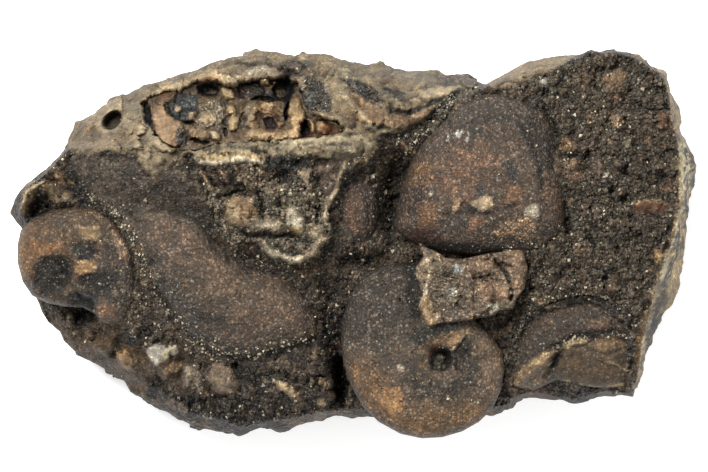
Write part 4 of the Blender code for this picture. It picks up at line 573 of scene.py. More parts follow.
# The shells: base colour and grit, where growth lines start, how many there are round it, how far
# they lean and how strong they are, and how rough the shell is where it's broken. Then areas,
# streaks, ovals and lines as for the rock. The scrap's light colours are made paler further down.
SHELLS = {
    "ammonite_lower_middle": {
        "base": ((108, 91, 75), 0.45), "growth": ((15.3, -20.3), 150, 0.05, 0.05),
        "areas": [
            ((88, 78, 67), 0.75, 1.8, [(-3, -18), (-3, -12), (0, -6), (5, -3), (12, -3), (13, -8),
                (11.5, -15), (6, -18)]),
            ((132, 101, 69), 0.40, 1.6, [(-2, -20), (2, -20.6), (5, -23.4), (9, -27), (9, -31), (3, -29.6),
                (-0.6, -25)]),
            ((184, 142, 94), 0.20, 0.9, [(5.6, -25.6), (7.4, -25.4), (9, -29.6), (7, -30.4), (5, -28)]),
            ((130, 102, 72), 0.45, 1.6, [(8, -29), (14, -28), (20, -28), (24, -28), (22, -34), (12, -35),
                (6, -33)]),
            ((130, 108, 88), 0.30, 1, [(20.4, -16), (23, -16), (26.4, -18), (27, -24), (24.6, -27.6),
                (20.6, -26), (20.4, -21)]),
            ((80, 72, 61), 0.90, 1.8, [(10.6, -22.6), (13, -24.4), (17, -24.2), (20, -21), (21, -17.4),
                (22.4, -20), (21.4, -24.6), (17.6, -27), (12.6, -26.8), (9.6, -24.8)]),
            ((58, 52, 44), 1.00, 0.6, [(17.2, -18.8), (19.8, -15.9), (20.6, -17.4), (19.8, -20.4),
                (18.2, -22.4), (17.2, -21.8)]),
            ((70, 68, 60), 0.95, 0.4, [(10.4, -14.6), (18.6, -14), (19.4, -15.2), (15, -16.4), (12.6, -18),
                (9.6, -17.4)]),
            ((134, 106, 78), 0.45, 0.35, [(11.8, -22), (11.6, -18.6), (13.4, -16.4), (17, -15.6),
                (19.6, -14.7), (20.1, -15.2), (17.4, -18.4), (14.6, -17.7), (13, -19.2), (12.8, -21.6)]),
            ((152, 122, 90), 0.20, 0.2, [(16, -16.6), (20, -15), (18.2, -17.8), (17.3, -18.4)]),
            ((46, 41, 36), 0.90, 0.6, [(8.8, -1), (11, -2), (11.8, -8), (11.4, -13), (9.8, -13), (9, -8)]),
            # Dark line under the scrap's lower edge: painted shadow.
            ((30, 27, 23), 0.70, 0.3, [(12.6, -13.6), (15.6, -13.7), (18.6, -13.6), (18, -14.4),
                (14, -14.6)]),
            # Near-black in the navel pit: painted shade.
            ((24, 21, 17), 0.60, 0.3, [(13.2, -19.2), (14.6, -18.1), (16.4, -18.2), (17.3, -19.6),
                (17, -21.6), (15.4, -22.6), (13.6, -22), (12.9, -20.6)]),
            ((84, 50, 30), 0.30, 0.2, [(12.8, -20), (12.9, -18.6), (14.4, -17.4), (15.8, -17.7),
                (14.2, -18.6), (13.5, -19.8)]),
            ((132, 130, 108), 0.70, 0.2, [(13.9, -20.2), (14.8, -19.3), (15.9, -19.9), (16, -21.2),
                (15, -21.9), (14, -21.4)]),
        ],
        "streaks": [
            ((214, 190, 156), 0.1, 0.2, [(17.4, -18.4), (18.6, -17), (20.1, -15.1)]),
            ((182, 148, 104), 0.2, 0.25, [(25.7, -17.8), (26.3, -19.6)]),
            ((190, 178, 156), 0.2, 0.25, [(8, -21.4), (8.5, -22.4)]),
            ((150, 124, 90), 0.3, 0.3, [(12.2, -21.6), (12.1, -19), (13.4, -17), (15.6, -16.6)]),
        ],
        "ovals": [
            (15.1, -20.3, 2.2, 2.4, 0, -3.2), (15.3, -20.3, 5.6, 5.2, 0, -0.9),
            (18.9, -20.6, 1.8, 4.2, 5, -0.6), (15, -20.7, 1.2, 1.4, 0, 1.9),
        ],
        "lines": [
            (0.5, 0.5, [(11.6, -21.4), (11.7, -18.4), (13.4, -16.6), (16, -15.9)]),
            (-0.6, 0.3, [(17.6, -18.8), (18.9, -17.2), (20.4, -15.4)]),
            (0.5, 0.3, [(17.2, -18.2), (18.4, -16.8), (19.9, -15)]),
        ],
    },
    "ammonite_upper_middle": {
        "base": ((104, 87, 72), 0.50), "growth": ((36.0, 9.0), 260, 0.00, 0.05),
        "areas": [
            ((130, 101, 80), 0.50, 1.8, [(14, 9), (17, 16), (22, 17.4), (25, 14), (24, 10), (19, 8)]),
            ((130, 99, 70), 0.50, 1.4, [(9, 9.4), (10, 13.6), (13.4, 14.6), (14, 11), (11.6, 9)]),
            ((90, 72, 58), 0.90, 1, [(8, 5), (8.6, 9.6), (13, 9.4), (14, 6), (11, 4.4)]),
            ((134, 100, 70), 0.50, 0.9, [(11.4, 2.6), (11.6, 6.6), (13.6, 7), (14.6, 4.6), (14, 2)]),
            ((82, 52, 40), 0.60, 0.8, [(9.6, 0), (10, 2.6), (15, 2.8), (15.4, 0.4)]),
            ((92, 80, 70), 0.70, 0.8, [(15, 1.6), (16, 5), (20, 5), (20, 2)]),
            ((136, 101, 77), 0.35, 0.6, [(20, 2), (20.6, 4.4), (22.8, 4.6), (23, 2.4)]),
            ((136, 103, 76), 0.35, 0.8, [(25.6, 6.6), (27, 10), (29, 10), (29.6, 6.6)]),
            ((88, 76, 64), 0.70, 2.2, [(14, 19), (18, 25), (25, 27), (31, 24.6), (29, 19.6), (20, 18.8)]),
            ((70, 60, 50), 0.80, 1.2, [(29.4, 22), (32, 22.4), (35.6, 18), (35.4, 13), (32.6, 12),
                (31.4, 16)]),
            ((112, 88, 71), 0.55, 0.9, [(33, 12), (36.4, 11), (37, 4), (33.6, 4)]),
            ((92, 77, 62), 0.80, 0.6, [(20, 0), (24, 5), (30, 4.8), (36, 3), (34, -2), (20, -1)]),
            ((78, 80, 80), 0.50, 0.4, [(21.2, 9.4), (22.6, 9.6), (23, 8), (21.4, 8)]),
            ((76, 76, 74), 0.80, 0.5, [(25.8, 14.2), (27.4, 14), (28.6, 11.4), (27.6, 10.4), (26.4, 12.6)]),
            ((62, 54, 46), 0.80, 0.4, [(28.6, 20.6), (29.8, 20.2), (31.8, 16.4), (31, 16)]),
            ((178, 156, 126), 0.10, 0.14, [(20, 7.2), (21.6, 7.6), (23.1, 8.3), (24.1, 7.8), (24.2, 6.7),
                (23.1, 5.5), (21.8, 5.4), (20.8, 6.2)]),
            ((168, 142, 110), 0.15, 0.12, [(16.9, 5), (17.3, 6.7), (17.9, 7.4), (18.5, 6.6), (18, 5.6),
                (17.5, 4.9)]),
            ((112, 84, 64), 0.30, 0.2, [(18.4, 7.2), (19.2, 8.3), (20.2, 8), (19.6, 7)]),
            ((188, 178, 156), 0.35, 0.25, [(29.6, 5.2), (30.6, 6.8), (32, 6.6), (32.4, 5), (31.4, 4.2),
                (30, 4.4)]),
            ((158, 130, 100), 0.90, 0.4, [(24.6, 2.2), (27, 3.8), (30, 5), (32.6, 3), (32.2, 1), (29.4, 0.6),
                (27, 1.4), (25, 0.6)]),
            ((40, 36, 31), 0.80, 0.3, [(9, -0.4), (14, 0.2), (20, 0), (26, -0.6), (26, -1.6), (14, -1.2)]),
        ],
        "streaks": [
            ((206, 202, 196), 0.4, 0.22, [(17.5, 17.8), (18.2, 19.6)]),
            ((206, 202, 196), 0.4, 0.22, [(18.3, 18.4), (19, 19.9)]),
            ((206, 202, 196), 0.4, 0.2, [(19.6, 17.6), (20, 18.8), (19.8, 19.9)]),
            ((186, 180, 170), 0.4, 0.2, [(16.2, 17.9), (16.5, 18.6)]),
            ((200, 190, 172), 0.2, 0.2, [(11, 8.6), (11.5, 9.6)]),
            ((200, 190, 172), 0.2, 0.2, [(13.4, 7.8), (13.7, 8.8)]),
            ((52, 44, 37), 0.7, 0.22, [(20.2, 6.4), (21.6, 5.2), (23.2, 5.2)]),
            ((70, 58, 47), 0.6, 0.3, [(23.6, 5.2), (26.4, 6.2), (29, 6.8), (32.6, 7.4)]),
            ((56, 50, 44), 0.8, 0.4, [(28.6, 20.4), (31, 16.6), (32.5, 13), (32.7, 9.6)]),
            ((34, 30, 26), 0.7, 0.3, [(24.6, -1), (27.4, -0.8), (29.6, 0.4)]),
        ],
        "ovals": [
            (22.2, 6.9, 2.5, 1.8, -10, 0.8), (17.7, 6.2, 1, 1.6, -10, 0.7), (19.3, 7.6, 1.1, 0.9, 0, 0.5),
            (31, 5.6, 1.9, 1.6, -20, 0.9), (27, 2.2, 2.6, 1.6, 0, 0.8), (30.4, 2.6, 2.2, 2, 30, 0.9),
            (21.6, 3.2, 1.9, 1.6, 0, 0.5), (16.6, 2, 2.4, 1.6, 10, 0.5), (12.6, 3.8, 1.9, 2.2, 0, 0.5),
            (10.8, 11.4, 1.6, 1.6, 0, 0.4), (35, 7, 1.5, 3.6, 0, 0.5),
        ],
        "lines": [
            (0.35, 0.9, [(27.4, 21), (29.6, 18), (31.2, 14), (31.6, 9)]),
            (-0.6, 0.7, [(28.6, 20.4), (31, 16.6), (32.6, 13), (32.9, 9)]),
            (-0.5, 0.35, [(15.4, 4.8), (19.8, 5), (23.6, 5), (26.4, 6), (29, 6.8)]),
            (-0.4, 0.3, [(14.8, 0.6), (15.2, 3.4), (16.4, 5)]),
        ],
    },
    "ammonite_left": {
        "base": ((104, 82, 61), 0.40), "growth": ((-52.6, -5.2), 130, -0.10, 0.07),
        "areas": [
            ((132, 99, 66), 0.30, 1.4, [(-60, 1), (-57, 3.6), (-54, 2), (-55, -2), (-56.8, -7), (-59, -9)]),
            ((146, 106, 68), 0.20, 0.9, [(-56.6, -0.6), (-53, 0), (-51.6, 0.8), (-51.6, -1.2), (-54, -2.2),
                (-56.4, -2)]),
            ((112, 94, 74), 0.50, 1, [(-55, 4), (-50, 6), (-44, 5.6), (-41.4, 3), (-45, 3.2), (-50, 2)]),
            ((142, 119, 86), 0.20, 0.4, [(-48, 2.4), (-45.4, 3), (-43.6, 2), (-45, 0.6), (-47.6, 0.8)]),
            ((98, 86, 74), 0.70, 1, [(-43.4, 1.4), (-39, 0), (-38, -8), (-40, -13), (-44.6, -12), (-46, -6),
                (-44.6, -2)]),
            ((62, 58, 52), 0.90, 0.5, [(-49.4, 0.2), (-45.4, 0), (-44.6, -1.4), (-46.4, -3), (-48.6, -2.8)]),
            ((150, 115, 80), 0.10, 0.35, [(-49, -3.4), (-46.8, -3.2), (-44.8, -3.8), (-45.4, -5.2),
                (-48.2, -5.6), (-49.2, -4.8)]),
            ((144, 118, 96), 0.20, 0.5, [(-42.4, 2), (-40.8, 1.4), (-39.2, -1.6), (-39.6, -3.4),
                (-41.4, -1.6)]),
            ((52, 47, 41), 1.00, 0.6, [(-45.8, -5.4), (-42, -4.6), (-40.6, -6.4), (-43.6, -8.6),
                (-46.6, -8.4), (-49, -6.6)]),
            ((88, 66, 49), 0.60, 0.9, [(-58, -6.4), (-54, -9), (-48.6, -9), (-49, -11), (-55, -11),
                (-59, -8)]),
            ((52, 47, 40), 1.00, 0.9, [(-56.4, -5.4), (-55, -3), (-52.8, -2.2), (-50.4, -2.4), (-49.2, -4.4),
                (-49.6, -7), (-51.4, -9), (-54.6, -9.2), (-56, -7.6)]),
            ((18, 16, 14), 0.70, 0.5, [(-50, -8.6), (-46, -8), (-44.8, -10), (-45.6, -13), (-49, -12)]),
            ((126, 98, 74), 0.40, 0.5, [(-44.6, -10.6), (-42.4, -10), (-41.4, -12), (-42.4, -14.6),
                (-44.6, -13.4)]),
        ],
        "streaks": [
            ((182, 164, 130), 0.2, 0.15, [(-46.4, 0.2), (-44.4, 0.5), (-42.7, 1.5)]),
            ((178, 150, 118), 0.2, 0.15, [(-48.6, 2.9), (-46.6, 2.5), (-44.6, 2.6)]),
            ((186, 158, 128), 0.2, 0.15, [(-41.4, 0.6), (-40.4, -0.4), (-40, -2.4)]),
            ((184, 156, 124), 0.2, 0.13, [(-42, 0.2), (-41, -1), (-40.8, -2.6)]),
            ((190, 160, 116), 0.2, 0.13, [(-48.6, -4.2), (-47, -4), (-45.2, -4.2)]),
            ((190, 160, 116), 0.2, 0.13, [(-48.4, -5), (-46.8, -4.8), (-45.4, -5)]),
            ((184, 150, 106), 0.2, 0.13, [(-48.2, -3.4), (-46.8, -3.3), (-45.6, -3.5)]),
            ((22, 20, 17), 0.8, 0.22, [(-47.8, -1.2), (-46.2, -0.9), (-45.2, -1.6)]),
            ((24, 22, 19), 0.8, 0.22, [(-48, -2.6), (-46.6, -2.5)]),
        ],
        "ovals": [
            (-52.8, -5.6, 3.9, 4, 0, -1.5), (-47.4, -11, 2.9, 2.6, 0, -2.8), (-43.4, -12, 1.8, 2.4, 0, 0.6),
            (-46.8, -6.8, 2.4, 1.6, 10, -0.9),
        ],
        "lines": [
            (-0.6, 0.5, [(-50, -2.6), (-48.9, -4.8), (-49.4, -7.2), (-48, -9)]),
            (0.35, 0.5, [(-58.2, -2), (-57.2, 1.6), (-53.8, 3.9), (-49.6, 4.2)]),
            (-0.5, 0.35, [(-49.6, 0), (-46.2, -0.6), (-44.2, 0.6), (-42.4, 1.2)]),
            (-0.4, 0.3, [(-48.8, -2.8), (-46.6, -2.8), (-44.6, -3.2)]),
            (0.35, 0.3, [(-46.4, 0.4), (-44.4, 0.8), (-42.6, 1.8)]),
        ],
    },
    "ammonite_middle_left": {
        "base": ((98, 82, 67), 0.50), "growth": ((-26.0, 9.0), 200, 0.10, 0.03),
        "areas": [
            ((112, 92, 75), 0.45, 1.6, [(-36, 1), (-35, 5), (-31, 5.6), (-25, 0), (-28, -4), (-33, -3)]),
            ((116, 96, 78), 0.40, 1.8, [(-26, -2), (-18, -5), (-12, -8), (-9, -13), (-14, -15), (-20, -14),
                (-26, -8)]),
            ((80, 72, 63), 0.80, 1.2, [(-39, 2), (-37, 0), (-33, -5), (-30, -9), (-27, -12), (-29, -15),
                (-36, -8), (-39, -2)]),
            ((58, 54, 48), 1.00, 0.8, [(-38, -6), (-34, -9), (-31, -13.4), (-26, -16), (-20, -18.4),
                (-10, -17.6), (-8, -18.6), (-20, -21), (-30, -17)]),
            ((64, 56, 48), 0.80, 0.5, [(-28, -12), (-24, -12.6), (-21.4, -12.6), (-23, -14), (-27, -14)]),
            ((76, 54, 44), 0.60, 0.9, [(-9, -9), (-6.6, -11), (-6, -16), (-8.4, -17), (-8.8, -13)]),
            ((140, 116, 90), 0.35, 0.4, [(-25, -6.6), (-24.4, -7), (-24.8, -8.4), (-26, -8.2)]),
        ],
        "streaks": [
            ((34, 30, 26), 0.8, 0.3, [(-24.6, 1.6), (-22.4, -1), (-21, -2.6)]),
            ((26, 23, 20), 0.8, 0.4, [(-19, -3.2), (-16, -3), (-12.4, -4.6)]),
            ((38, 34, 30), 0.8, 0.2, [(-33, -9), (-32.2, -11.4), (-32.6, -12.6)]),
        ],
        "ovals": [(-26.6, -11.8, 1.4, 1.0, -20, 0.5)],
        "lines": [(-0.4, 0.35, [(-33.0, -9.0), (-32.2, -11.4), (-30.0, -13.8)])],
    },
    "ammonite_lower_right": {
        "base": ((80, 68, 55), 0.50), "growth": ((41.0, -23.0), 120, 0.10, 0.04),
        "areas": [
            ((88, 73, 59), 0.45, 0.8, [(29, -19), (31, -14.6), (34.6, -11.8), (39, -11), (43, -11),
                (43, -12.6), (38, -13), (34, -14.6), (31.6, -18)]),
            ((116, 93, 74), 0.30, 0.25, [(40.8, -13.6), (42.6, -13.2), (44.8, -13), (44.8, -14.6),
                (42, -15.2), (40.6, -14.6)]),
            ((104, 76, 50), 0.30, 0.5, [(45.6, -13.6), (50.4, -12.6), (50.4, -16.4), (47.6, -15.8),
                (46, -14.8)]),
            ((44, 40, 35), 1.00, 0.35, [(33.6, -18.6), (36, -17), (38.6, -15.7), (42, -15.6), (45.6, -14.7),
                (48, -16), (50, -17.4), (46, -16), (42, -16.6), (38.2, -16.8), (35.8, -18.6)]),
            ((86, 69, 48), 0.10, 0.25, [(35.8, -19), (37.6, -18), (41, -17.8), (46, -16.6), (50.4, -17.8),
                (50.4, -22), (49.6, -26.3), (44, -25.5), (40, -25.2), (36, -24), (34.4, -22)]),
            ((190, 170, 132), 0.15, 0.2, [(36.1, -18.6), (36.5, -17.8), (38, -16.9), (40.4, -16.6),
                (41, -17.4), (38.6, -17.8), (37.2, -18.6)]),
            ((130, 106, 76), 0.20, 0.4, [(41, -17.6), (43, -16.6), (46.6, -16.4), (45.4, -18.2),
                (43.6, -19)]),
            ((124, 100, 68), 0.15, 0.5, [(46, -17), (50, -18), (50, -21), (47, -19)]),
            ((118, 104, 87), 0.25, 0.3, [(35.2, -19.6), (32, -21), (28.4, -25), (27.4, -28.4), (31.6, -26.4),
                (34, -22.8)]),
            ((152, 126, 96), 0.30, 0.4, [(35.2, -18.8), (33.4, -19), (31, -20.2), (28.6, -22.8),
                (26.8, -25.8), (28.6, -25.2), (31.4, -22.6), (34.6, -20.4)]),
            ((182, 156, 118), 0.20, 0.2, [(35.2, -18.9), (33.4, -19.2), (31.6, -20.3), (30.4, -21.6),
                (32.4, -21), (34.6, -19.9)]),
            # Near-black under the lip of the broken whorl: painted shadow.
            ((20, 17, 14), 0.60, 0.2, [(35, -20.4), (36.2, -18.8), (36.6, -19.6), (35, -22.6), (34, -22.8)]),
            ((186, 156, 106), 0.08, 0.2, [(44.6, -24.9), (47.2, -24.5), (49.6, -24.4), (49.6, -26.6),
                (47.4, -26.2)]),
        ],
        "streaks": [
            ((150, 132, 104), 0.1, 0.2, [(43, -20.4), (45.4, -21), (47.5, -22.1)]),
            ((66, 52, 38), 0.1, 0.2, [(44.6, -19.4), (47, -20.8)]),
            ((178, 156, 116), 0.1, 0.2, [(36.2, -23.9), (38.4, -24.6), (41, -25.2), (44, -25.3)]),
            ((30, 26, 22), 0.6, 0.3, [(35.6, -24.4), (38.4, -25.4), (41.6, -26), (44.6, -26)]),
        ],
        "ovals": [
            (42.8, -14.1, 2.4, 1, 5, 0.7), (39, -17.2, 2.8, 0.8, 10, 0.8), (32.6, -21.2, 1.2, 3.6, -38, 0.9),
            (44, -18, 2.6, 1.2, 0, 0.5), (48.6, -25.4, 1.4, 1, 20, 0.5),
        ],
        "lines": [
            
                (-0.9, 0.5, [(34.2, -18.6), (36, -17.4), (38.6, -16.2), (42, -16.1), (45.6, -15.2),
                    (48, -16.4), (49.8, -17.2)]),
            (0.5, 0.8, [(30, -18.6), (32, -14.8), (35, -12.2), (39, -11.2), (44, -11.6)]),
            (-1.1, 0.4, [(35.8, -19.4), (34.6, -21.6), (33.4, -23.6)]),
            (-0.35, 0.3, [(43, -20.8), (47.4, -22.4)]),
        ],
    },
    "ammonite_small": {
        "base": ((92, 76, 64), 0.60), "growth": ((4.5, 5.0), 60, 0.1, 0.04),
        "areas": [
            ((112, 87, 68), 0.50, 0.9, [(-1.6, 2), (-2, 8), (0, 9), (1.4, 7), (1.6, 2)]),
            ((64, 54, 46), 0.80, 0.8, [(3, 0), (3.2, 9), (1.4, 12), (5, 12), (5, 0)]),
        ],
        "streaks": [],
        "ovals": [], "lines": [(-0.4, 0.5, [(2.6, 1.0), (3.0, 5.0), (2.4, 9.4)])],
    },
    "shell_scrap": {
        "base": ((140, 121, 101), 0.50), "growth": ((20.0, 30.0), 20, 0.0, 0.02), "rough": 0.50,
        "areas": [
            ((156, 136, 110), 0.35, 0.5, [(11.4, -2.6), (14.8, -1.4), (17, -3), (14, -5), (12.8, -8),
                (11.6, -7)]),
            ((170, 144, 112), 0.20, 0.3, [(11.2, -9.4), (13.4, -9.2), (13.8, -12), (14.4, -14.2),
                (12.6, -14.6), (11, -12)]),
            ((124, 110, 94), 0.70, 1, [(14, -4.4), (18.6, -3.6), (19, -7), (20.8, -10), (19.8, -13),
                (15, -13.4), (13.8, -10)]),
            ((146, 122, 100), 0.35, 0.5, [(19.6, -2.6), (25, -2.4), (25.6, -4.6), (21.6, -5.6), (20, -4.4)]),
            ((132, 114, 94), 0.70, 0.5, [(20.6, -5.6), (26, -4.8), (27, -7.2), (22, -7.4)]),
            ((156, 128, 104), 0.30, 0.4, [(21.8, -7.4), (24, -7), (26.8, -7.8), (27, -9.6), (24.4, -10.2),
                (22.2, -9.6)]),
            ((142, 118, 96), 0.25, 0.4, [(25.6, -2), (29.8, 0), (30.6, -5), (29, -9.4), (27.8, -9),
                (27.4, -5.4)]),
            ((206, 200, 182), 0.15, 0.2, [(23.2, -10.8), (25, -10.5), (25.4, -11.8), (23.8, -12.3)]),
            ((140, 124, 104), 0.50, 0.3, [(25.2, -10.2), (28.6, -9.6), (28, -11.8), (25.8, -11.8)]),
            ((196, 192, 180), 0.60, 0.3, [(16, -8.4), (17.6, -7.6), (18.2, -9), (16.6, -9.4)]),
            ((176, 180, 176), 0.60, 0.3, [(17.6, -4), (18.8, -3.8), (18.8, -5.2), (17.4, -5)]),
        ],
        "streaks": [
            ((26, 22, 18), 0.6, 0.25, [(25, -3.5), (26.2, -4.8), (27.1, -6.4), (27.6, -8.6), (27.4, -9.8)]),
            ((84, 70, 56), 0.6, 0.2, [(20.9, -6.4), (23.4, -5.6), (25.6, -4.8)]),
            ((204, 184, 154), 0.1, 0.25, [(10.9, -4), (11, -6.4), (11.6, -8.6)]),
            ((200, 186, 160), 0.2, 0.2, [(12.8, -2.6), (13, -5.6), (12.6, -8.4), (11.4, -10.6)]),
            ((96, 82, 68), 0.5, 0.2, [(13.8, -3.2), (17.4, -3.6), (19.6, -3.4)]),
        ],
        "ovals": [
            (24.4, -8.7, 2.8, 1.6, -8, 0.9), (24.4, -11.3, 1.2, 0.9, 0, 0.9), (16.4, -9, 3.4, 3.6, 0, -0.6),
            (28.4, -4.4, 1.8, 3.6, 10, 0.7), (12.9, -11.6, 1.3, 2.8, 0, 0.7), (14.8, -4.4, 2.2, 1.9, 20, 0.6),
            (22.6, -3.8, 2.6, 1.5, 8, 0.6), (26.8, -10.8, 1.6, 0.9, 0, 0.5), (19, -6.4, 1.8, 1.4, 0, 0.4),
        ],
        "lines": [
            (-1.2, 0.3, [(25, -3.3), (26.2, -4.8), (27.1, -6.4), (27.6, -8.8), (27.3, -9.9)]),
            (-0.6, 0.3, [(20.6, -5.2), (21.4, -6.4), (20.9, -9.6), (22, -10.6)]),
            (-0.5, 0.3, [(13.8, -3), (17.4, -3.4), (19.6, -2.8)]),
            (0.4, 0.5, [(11.6, -4.4), (11.6, -6.4), (12.6, -9), (12, -11.2), (13.4, -13.8)]),
        ],
    },
}

# The crust in the hollow: lumps as x, y, radii, turn and height over the crust's bed.
CRUST_OVALS = [
    (-32.5, 20.6, 2.5, 4.6, 20, 2.6), (-33, 25.6, 2.2, 1.3, 25, 2), (-30.8, 23.5, 0.8, 0.8, 0, 1.9),
    (-28.4, 22.3, 1, 0.8, 0, 2.3), (-29, 24.8, 1.4, 1.3, 0, 1.8), (-24.6, 22.8, 2.9, 2.2, 10, 2),
    (-26.8, 20.9, 1.7, 1.2, 0, 1.7), (-22, 26.3, 1.5, 1.1, -35, 3), (-21.4, 23.2, 0.9, 1.3, 10, 2.7),
    (-20.9, 20.9, 1.1, 1.4, 0, 2.9), (-27, 18.9, 2, 0.9, -12, 2.2), (-24.2, 18.8, 1.2, 0.8, -30, 2.4),
    (-30, 18.4, 1, 1.6, 0, 1.2), (-18.2, 23.2, 1.7, 2, 10, 2.4), (-14.8, 23.4, 1.9, 1.6, -20, 2.2),
    (-16.4, 18.9, 2.8, 1.3, 0, 2.6), (-17.8, 20.8, 1.4, 1, 0, 1.9), (-12.8, 18.6, 1.5, 1.2, 0, 2.4),
    (-9.9, 22.4, 1.4, 3.6, 10, 3.4), (-10.6, 18.7, 1.8, 1.1, 0, 2.9), (-7.2, 20.4, 0.6, 1.5, 10, 2.4),
    (-5.2, 20.1, 1.6, 1.2, -10, 2), (-18, 26.6, 2.5, 1.5, 0, 2), (-15.6, 28.5, 0.9, 1, 0, 5),
    (-13.7, 28, 0.65, 0.75, 0, 4.6), (-24.8, 25.2, 1.6, 0.8, 10, 1.2), (-14.5, 21, 1.7, 1, -35, -2),
    (-8.5, 19.7, 0.8, 1.7, 0, -2.2), (-12.4, 27, 2, 2.2, 0, -3.8), (-11.7, 23.2, 0.5, 1.9, -12, -3),
    (-25.6, 27, 2.2, 1.3, 0, -3.8), (-36.3, 22.4, 0.9, 3, 8, -3.4), (-35, 18.8, 0.7, 1.6, 30, -2.8),
    (-15.8, 25.2, 2.4, 0.6, 0, -2.4), (-32.2, 23, 0.5, 1.6, 34, -1.6), (-28.2, 20.9, 1.6, 0.5, -20, -1.6),
    (-22.9, 21.4, 0.4, 1.3, 24, -0.8), (-19.4, 22, 0.5, 1.4, -24, -1), (-27, 17.8, 2.2, 0.5, -10, -1.8),
    (-22.4, 19.4, 0.5, 1.2, 20, -1.6),
]
CRUST_DEPTH = 5.8
CRUST_LINES = [
    (1, 0.3, [(-31.8, 24.6), (-31.9, 23), (-30.6, 22.4), (-29.9, 23.6), (-30.4, 24.6)]),
    (-1, 0.3, [(-32.8, 24.2), (-32.4, 22.4), (-30.4, 21.4), (-28.8, 21)]),
    (0.8, 0.3, [(-27, 24.2), (-25.4, 23.4), (-24.2, 21.4), (-25.6, 20.2)]),
    (0.7, 0.3, [(-24, 24.6), (-22.8, 23.2), (-23.2, 21.2)]),
    (0.9, 0.3, [(-28.8, 19.6), (-26.8, 19.8), (-24.8, 19.2), (-23.6, 17.8)]),
    (0.8, 0.35, [(-17.8, 21.4), (-17, 23.4), (-15, 24.3), (-13.2, 24)]),
    (0.8, 0.35, [(-15.6, 19.8), (-14.2, 19.3), (-12.9, 20.2), (-12.5, 21.8)]),
    (-0.8, 0.25, [(-16.8, 22.4), (-14.8, 22.6), (-13.4, 21.6)]),
    (1.2, 0.3, [(-6.8, 22.2), (-4.6, 21.9), (-3.2, 21), (-1.8, 20.8)]),
    (0.9, 0.3, [(-9.4, 21.4), (-8, 21.6), (-7.2, 20.4), (-6.8, 18.8)]),
]
